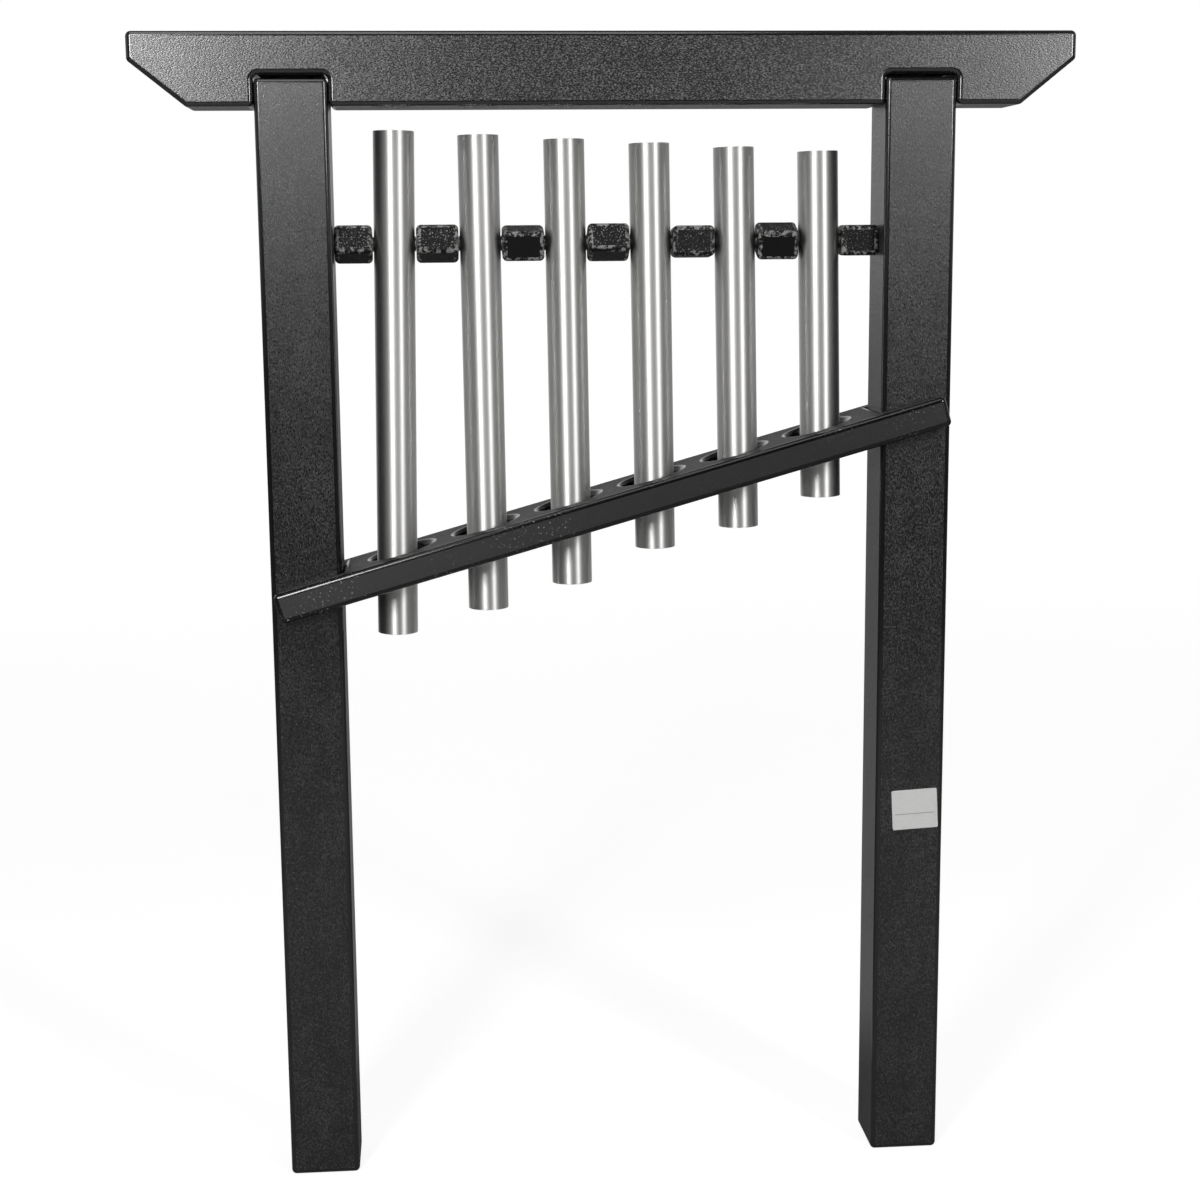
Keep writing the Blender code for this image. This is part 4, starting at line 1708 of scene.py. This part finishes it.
    def closed_nut(self, name: str) -> Workpiece:
        """Make a closed nut: a blind bore, chamfered flats and a domed crown.

        The crown is a quarter of an ellipse, (dome cos t, top + rise sin t).

        Args:
            name: the piece's name.

        Returns:
            The workpiece, standing on Z = 0.
        """
        bore = self.stock.rod_radius + FIT_GAP
        flat = bore + self.nut_wall
        corner = 2.0 * flat / math.sqrt(3.0)
        top, depth, mouth = self.nut_height, self.nut_depth + FIT_GAP, self.nut_mouth
        rise = depth + self.nut_crown - top
        seat_ease, top_ease = self.nut_ease
        t = np.linspace(0.0, QUARTER_TURN, 14)[:-1]
        crown = np.stack([flat * self.nut_dome * np.cos(t), top + rise * np.sin(t)], axis=-1)
        profile = np.concatenate([
            np.array([[POLE, depth], [bore, depth], [bore, mouth], [bore + mouth, 0.0],
                      [flat - seat_ease, 0.0], [corner, self.nut_shoulder],
                      [corner, top - self.nut_shoulder], [flat - top_ease, top]]),
            crown, np.array([[POLE, top + rise]])])
        return Workpiece(name, hex_turned(profile, 2.0 * flat, Steps.HEXAGON, False))

    def bolt(self, name: str) -> Workpiece:
        """Make a hexagon-headed bolt, its threaded shank pointing down.

        Args:
            name: the piece's name.

        Returns:
            The workpiece, its head standing on Z = 0.
        """
        tip = self.stock.post_length - self.bolt_into_post - self.bolt_seat
        flat, corner = self.bolt_flats / 2.0, self.bolt_flats / math.sqrt(3.0)
        top, dish = self.bolt_head, self.bolt_head - self.bolt_dish
        dish_end, rim = self.bolt_dish_rim
        shoulder, drop = self.bolt_shoulder
        start = tip + self.point
        run = np.arange(start, start + self.bolt_thread_length, self.bolt_thread_step)[::-1]
        shank = np.stack([thread(run, self.bolt_radius, *self.bolt_thread), run], axis=-1)
        profile = np.concatenate([
            np.array([[POLE, dish], [flat - dish_end, dish], [flat - rim, top],
                      [flat - shoulder, top], [corner, top - drop], [corner, 0.0],
                      [self.bolt_radius, 0.0]]),
            shank, np.array([[POLE, tip]])])
        return Workpiece(name, hex_turned(profile, self.bolt_flats, Steps.HEXAGON, False))

    def screw(self, name: str) -> Workpiece:
        """Make a pan-headed screw with a six-lobed driver recess.

        The head's top is side + dome * sqrt(1 - (r / head)^4). The recess is where the radius
        is under middle + swing * cos(6 angle), and the top sinks there by its depth.

        Args:
            name: the piece's name.

        Returns:
            The workpiece, its head standing on Z = 0.
        """
        head, side = self.screw_head_radius, self.screw_head * self.screw_side
        tip = self.stock.lumber / 2.0 - self.screw_into_post - self.screw_seat
        fine, coarse = self.driver_reach
        rings = np.concatenate([np.linspace(POLE, fine, 22), np.linspace(coarse, head, 12)[:-1]])
        dome = (self.screw_head - side) * np.sqrt(1.0 - (rings / head) ** 4)
        profile = np.concatenate([
            np.stack([rings, side + dome], axis=-1),
            np.array([[head, side], [head, self.screw_ease], [head - self.screw_ease, 0.0],
                      [self.screw_radius, 0.0], [self.screw_radius, tip + self.point],
                      [POLE, tip]])])
        surface = turned(profile, Steps.HEXAGON, False)
        x, y, height = surface.points.T
        middle, swing = self.driver
        lobes = middle + swing * np.cos(6.0 * np.arctan2(y, x))
        sink = np.clip((lobes - np.hypot(x, y)) / self.driver_wall, 0.0, 1.0)
        surface.points[:, 2] -= np.where(height > side, sink * self.driver_depth, 0.0)
        return Workpiece(name, surface)

    def fasten(self, piece: Workpiece, place: Matrix, steel: bpy.types.Material,
               node: str) -> None:
        """Finish a fastener in its place and fit it to the frame.

        Args:
            piece: the fastener.
            place: where its seat is.
            steel: its material.
            node: the CAD node that it stands for.
        """
        fit_to_frame(piece.moved(place).finished(), "frame", Slot.STEEL, steel, node)

    def close_rod(self, side: Side, steel: bpy.types.Material) -> None:
        """Put the washer and the closed nut on one end of the rod.

        Args:
            side: the end's post.
            steel: their material.
        """
        outwards = Matrix.Rotation(side.value * QUARTER_TURN, 4, "Y")
        washer_place, nut_place = (
            Matrix.Translation((side.value * x, 0.0, self.stock.rod_height)) @ outwards
            for x in (self.washer_seat, self.nut_seat))
        washer = self.washer(f"rod_washer_{side.label}_rolled", self.stock.rod_radius + FIT_GAP,
                             self.washer_width, self.washer_thickness)
        self.fasten(washer, washer_place, steel, f"rod_washer_{side.label}")
        nut = self.closed_nut(f"rod_cap_nut_{side.label}_domed")
        self.fasten(nut, nut_place, steel, f"rod_cap_nut_{side.label}")

    def bolt_down(self, side: Side, steel: bpy.types.Material,
                  gap_shaded_steel: bpy.types.Material) -> None:
        """Put the two bolts with their washers over one post.

        Args:
            side: the post.
            steel: the washers' material.
            gap_shaded_steel: the bolts' material, painted near-black as shade below the notch's
                ceiling.
        """
        for number, x in enumerate(self.lumber.bolt_places(side), 1):
            tail = f"{side.label}_{number}"
            washer = self.washer(f"beam_bolt_washer_{tail}_rolled", self.bolt_radius + FIT_GAP,
                                 self.bolt_washer_width, self.bolt_washer_thickness)
            self.fasten(washer, Matrix.Translation((x, 0.0, self.pocket_floor)), steel,
                        f"beam_bolt_washer_{tail}")
            bolt = self.bolt(f"beam_lag_bolt_{tail}_threaded")
            self.fasten(bolt, Matrix.Translation((x, 0.0, self.bolt_seat)), gap_shaded_steel,
                        f"beam_lag_bolt_{tail}")

    def screw_rail(self, side: Side, steel: bpy.types.Material) -> None:
        """Put the two screws through the rail's back prong into one post.

        Args:
            side: the post.
            steel: their material.
        """
        backwards = Matrix.Rotation(-QUARTER_TURN, 4, "X")
        for number, (x, z) in enumerate(self.lumber.screw_places(side), 1):
            tail = f"{side.label}_{number}"
            place = Matrix.Translation((x, self.screw_seat, z)) @ backwards
            self.fasten(self.screw(f"rail_screw_{tail}_lobed"), place, steel,
                        f"rail_screw_{tail}")

    def build(self) -> None:
        """Build, dress and place the rod and every fastener."""
        steel = SteelFinish().build()
        ceiling = self.lumber.beam_bottom + self.lumber.notch_depth
        # The bolts' steel is painted near-black and dull below the notch's ceiling: painted shade
        # in the gap over each post.
        gap_shaded_steel = SteelFinish("stainless_bolt", shade_painted_below=ceiling).build()
        fit_to_frame(self.rod().finished(), "frame", Slot.STEEL, steel, "support_rod")
        for side in Side:
            self.close_rod(side, steel)
            self.bolt_down(side, steel, gap_shaded_steel)
            self.screw_rail(side, steel)


@dataclass
class LabelPlate:
    """The small bare plate on the right post's front, a little askew, with its ground line.

    Attributes:
        stock: the shared sizes.
        width: the plate's width.
        height: its height.
        thickness: its thickness.
        corner: radius of its corners.
        centre_x: X of its middle.
        centre_z: height of its middle.
        turn: its turn, in radians.
        line_height: height of the line's middle.
        line_width: the line's width.
        line_proud: how far it stands out from the plate.
        line_colour: its colour.
    """

    stock: Stock
    width: float = 0.0600
    height: float = 0.0530
    thickness: float = 0.0008
    corner: float = 0.0020
    centre_x: float = 0.3925
    centre_z: float = 0.4713
    turn: float = math.radians(-2.8)
    line_height: float = 0.4655
    line_width: float = 0.0008
    line_proud: float = 0.0002
    line_colour: Colour = (0.30, 0.30, 0.30)

    def fit(self, name: str, slab: Surface, y: float, z: float, finish: PlateFinish) -> None:
        """Turn a slab with the label, place it before the post and fit it to the frame.

        Args:
            name: the piece's name.
            slab: its surface, round the origin.
            y: Y of its middle.
            z: height of its middle.
            finish: its finish.
        """
        place = (Matrix.Translation((self.centre_x, y, z))
                 @ Matrix.Rotation(self.turn, 4, "Y"))
        fit_to_frame(Workpiece(name, slab.moved(place)).finished(), "frame", Slot.LUMBER,
                     finish.build())

    def build(self) -> None:
        """Build and place the plate and the raised line across it."""
        front = -self.stock.lumber / 2.0 - FIT_GAP - self.thickness / 2.0
        plate = routed_slab(rectangle(self.width, self.height, self.corner), self.thickness,
                            self.thickness / 4.0, Plane.XZ, 4)
        self.fit("label_plate_bare", plate, front, self.centre_z, PlateFinish())
        line = routed_slab(rectangle(self.width - 4.0 * self.corner, self.line_width,
                                     self.line_width / 4.0), self.line_proud,
                           self.line_proud / 4.0, Plane.XZ, 3)
        self.fit("label_ground_line", line, front - (self.thickness + self.line_proud) / 2.0,
                 self.line_height, PlateFinish("label_line_grey", self.line_colour))


# Studio


@dataclass(frozen=True)
class Viewpoint:
    """The camera, as fitted to the photograph's straight edges.

    Attributes:
        place: the lens's position.
        focal_share: focal length over the frame's width.
        yaw: turn to the right, in radians.
        pitch: tilt downwards.
        roll: turn about the view.
        sensor: the sensor's width, in millimetres.
        clip: the nearest and the farthest distance seen.
    """

    place: tuple[float, float, float] = (-0.2293, -2.6344, 1.2114)
    focal_share: float = 2081.5 / 1200.0
    yaw: float = 0.08159
    pitch: float = 0.17283
    roll: float = -0.00851
    sensor: float = 36.0
    clip: tuple[float, float] = (0.05, 60.0)

    def build(self) -> None:
        """Make the camera and set it as the scene's."""
        level = ALONG_X * math.sin(self.yaw) + ALONG_Y * math.cos(self.yaw)
        right = ALONG_X * math.cos(self.yaw) - ALONG_Y * math.sin(self.yaw)
        forward = level * math.cos(self.pitch) - ALONG_Z * math.sin(self.pitch)
        top = level * math.sin(self.pitch) + ALONG_Z * math.cos(self.pitch)
        across = right * math.cos(self.roll) + top * math.sin(self.roll)
        top = top * math.cos(self.roll) - right * math.sin(self.roll)
        data = bpy.data.cameras.new("front_camera")
        data.sensor_fit = "HORIZONTAL"
        data.sensor_width = self.sensor
        data.lens = self.focal_share * self.sensor
        data.clip_start, data.clip_end = self.clip
        camera = bpy.data.objects.new("front_camera", data)
        turn = Matrix((across, top, -forward)).transposed().to_4x4()
        camera.matrix_world = Matrix.Translation(self.place) @ turn
        bpy.context.scene.collection.objects.link(camera)
        bpy.context.scene.camera = camera


@dataclass(frozen=True)
class SoftLight:
    """One soft light, a bright rectangle.

    Attributes:
        name: the light's name.
        place: its centre.
        size: width and height.
        power: watts.
        aim: the point that it faces.
    """

    name: str
    place: tuple[float, float, float]
    size: tuple[float, float]
    power: float
    aim: tuple[float, float, float] = (0.0, 0.0, 1.2)

    def build(self) -> None:
        """Make the light."""
        data = bpy.data.lights.new(self.name, "AREA")
        data.shape = "RECTANGLE"
        data.size, data.size_y = self.size
        data.energy = self.power
        obj = bpy.data.objects.new(self.name, data)
        obj.location = self.place
        aim = Vector(self.aim) - Vector(self.place)
        obj.rotation_euler = aim.to_track_quat("-Z", "Y").to_euler()
        bpy.context.scene.collection.objects.link(obj)


@dataclass
class Studio:
    """The pale floor, the surroundings, the soft lights and the camera.

    A white backdrop stands behind the object, as wide as the camera sees, and the rest of the
    room is grey and darker towards the ceiling and behind the camera. Metal and gloss see the
    same room; the camera sees white wherever it looks past the object.

    Attributes:
        front_grey: brightness of the room behind the camera.
        side_grey: brightness of its sides.
        front_to_side: a direction's Y where it is the first, and where it is the second.
        ceiling_share: how much of the brightness the ceiling keeps.
        wall_to_ceiling: a direction's Z where the wall begins to darken, and where it ends.
        backdrop: a direction's Y where the backdrop begins, and where it is full.
        floor_reach: half the floor's width.
        floor_greys: the darkest and the palest colour of the floor.
        floor_rough: its roughness.
        floor_glow: its own brightness to the eye, near the object and far off.
        floor_glow_reach: the distances of these two, in metres.
        floor_mirrored: share of that brightness that metal and gloss see.
        lights: the lights.
    """

    front_grey: float = 0.06
    side_grey: float = 0.48
    front_to_side: tuple[float, float] = (-0.8, 0.2)
    ceiling_share: float = 0.30
    wall_to_ceiling: tuple[float, float] = (0.25, 0.8)
    backdrop: tuple[float, float] = (0.80, 0.92)
    floor_reach: float = 40.0
    floor_greys: tuple[Colour, Colour] = ((0.27, 0.27, 0.27), (0.29, 0.29, 0.29))
    floor_rough: float = 0.9
    floor_glow: tuple[float, float] = (0.85, 0.95)
    floor_glow_reach: tuple[float, float] = (1.0, 7.0)
    floor_mirrored: float = 0.32
    lights: tuple[SoftLight, ...] = (
        SoftLight("left_strip", (-1.24, -2.64, 2.25), (0.44, 1.5), 56.0),
        SoftLight("right_strip", (1.98, -3.00, 2.30), (0.44, 1.7), 58.0),
        SoftLight("overhead", (-0.3, -0.9, 3.2), (1.6, 1.0), 10.0),
    )

    def backdrop_share(self, s: NodeGraph, y: Socket) -> Socket:
        """Say how far a direction points at the backdrop, from its Y."""
        return s.span(y, *self.backdrop)

    def floor_finish(self) -> bpy.types.Material:
        """Make the floor's material: white to the eye, and grey where a shadow falls.

        Metal and gloss see it white only before the backdrop.

        Returns:
            The material.
        """
        s = Shader("floor_pale")
        direction = s.vector("NORMALIZE", s.coordinates).outputs["Vector"]
        distance = s.vector("LENGTH", s.coordinates).outputs["Value"]
        mirrored = s.combine("MAXIMUM", s.ray("Is Glossy Ray"), s.ray("Is Transmission Ray"))
        mirrored = s.combine("MULTIPLY", mirrored, self.backdrop_share(s, s.axis(direction, "Y")))
        mirrored = s.combine("MULTIPLY", mirrored, self.floor_mirrored)
        seen = s.combine("MAXIMUM", s.ray("Is Camera Ray"), mirrored)
        glow = s.span(distance, *self.floor_glow_reach, *self.floor_glow)
        return s.dress(Base_Color=s.blend(s.noise(3.0, 2.0, 0.5), *self.floor_greys),
                       Roughness=self.floor_rough, Emission_Color=WHITE,
                       Emission_Strength=s.combine("MULTIPLY", seen, glow))

    def lay_floor(self) -> None:
        """Lay the floor, one wide square."""
        reach = self.floor_reach
        mesh = bpy.data.meshes.new("pale_floor")
        mesh.from_pydata([(-reach, -reach, 0.0), (reach, -reach, 0.0), (reach, reach, 0.0),
                          (-reach, reach, 0.0)], [], [(0, 1, 2, 3)])
        mesh.materials.append(self.floor_finish())
        obj = bpy.data.objects.new("pale_floor", mesh)
        bpy.context.scene.collection.objects.link(obj)

    def light_room(self) -> None:
        """Light the room: grey by a direction's Y, and dimmed towards the ceiling."""
        world = bpy.data.worlds.new("pale_room")
        bpy.context.scene.world = world
        world.use_nodes = True
        s = NodeGraph(world.node_tree, "Generated")
        y, z = s.axis(s.coordinates, "Y"), s.axis(s.coordinates, "Z")
        room = s.span(y, *self.front_to_side, self.front_grey, self.side_grey)
        dimmed = s.span(z, *self.wall_to_ceiling, 1.0, self.ceiling_share)
        room = s.combine("MULTIPLY", room, dimmed)
        white = s.combine("MAXIMUM", self.backdrop_share(s, y), s.ray("Is Camera Ray"))
        background = world.node_tree.nodes["Background"]
        s.wire(s.combine("MAXIMUM", room, white), background.inputs["Strength"])
        s.wire(WHITE, background.inputs["Color"])

    def build(self) -> None:
        """Set up the floor, the room, the lights and the camera."""
        bpy.context.scene.view_settings.view_transform = "Standard"
        self.lay_floor()
        self.light_room()
        for light in self.lights:
            light.build()
        Viewpoint().build()


def main() -> None:
    """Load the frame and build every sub-assembly on it."""
    logging.basicConfig(level=logging.INFO, format="%(name)s: %(message)s")
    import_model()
    stock = Stock()
    lumber = LumberFrame(stock)
    Studio().build()
    lumber.build()
    ChimeTubes(stock).build()
    SpacerBlocks(stock).build()
    Hardware(stock, lumber).build()
    LabelPlate(stock).build()


if __name__ == "__main__":
    main()
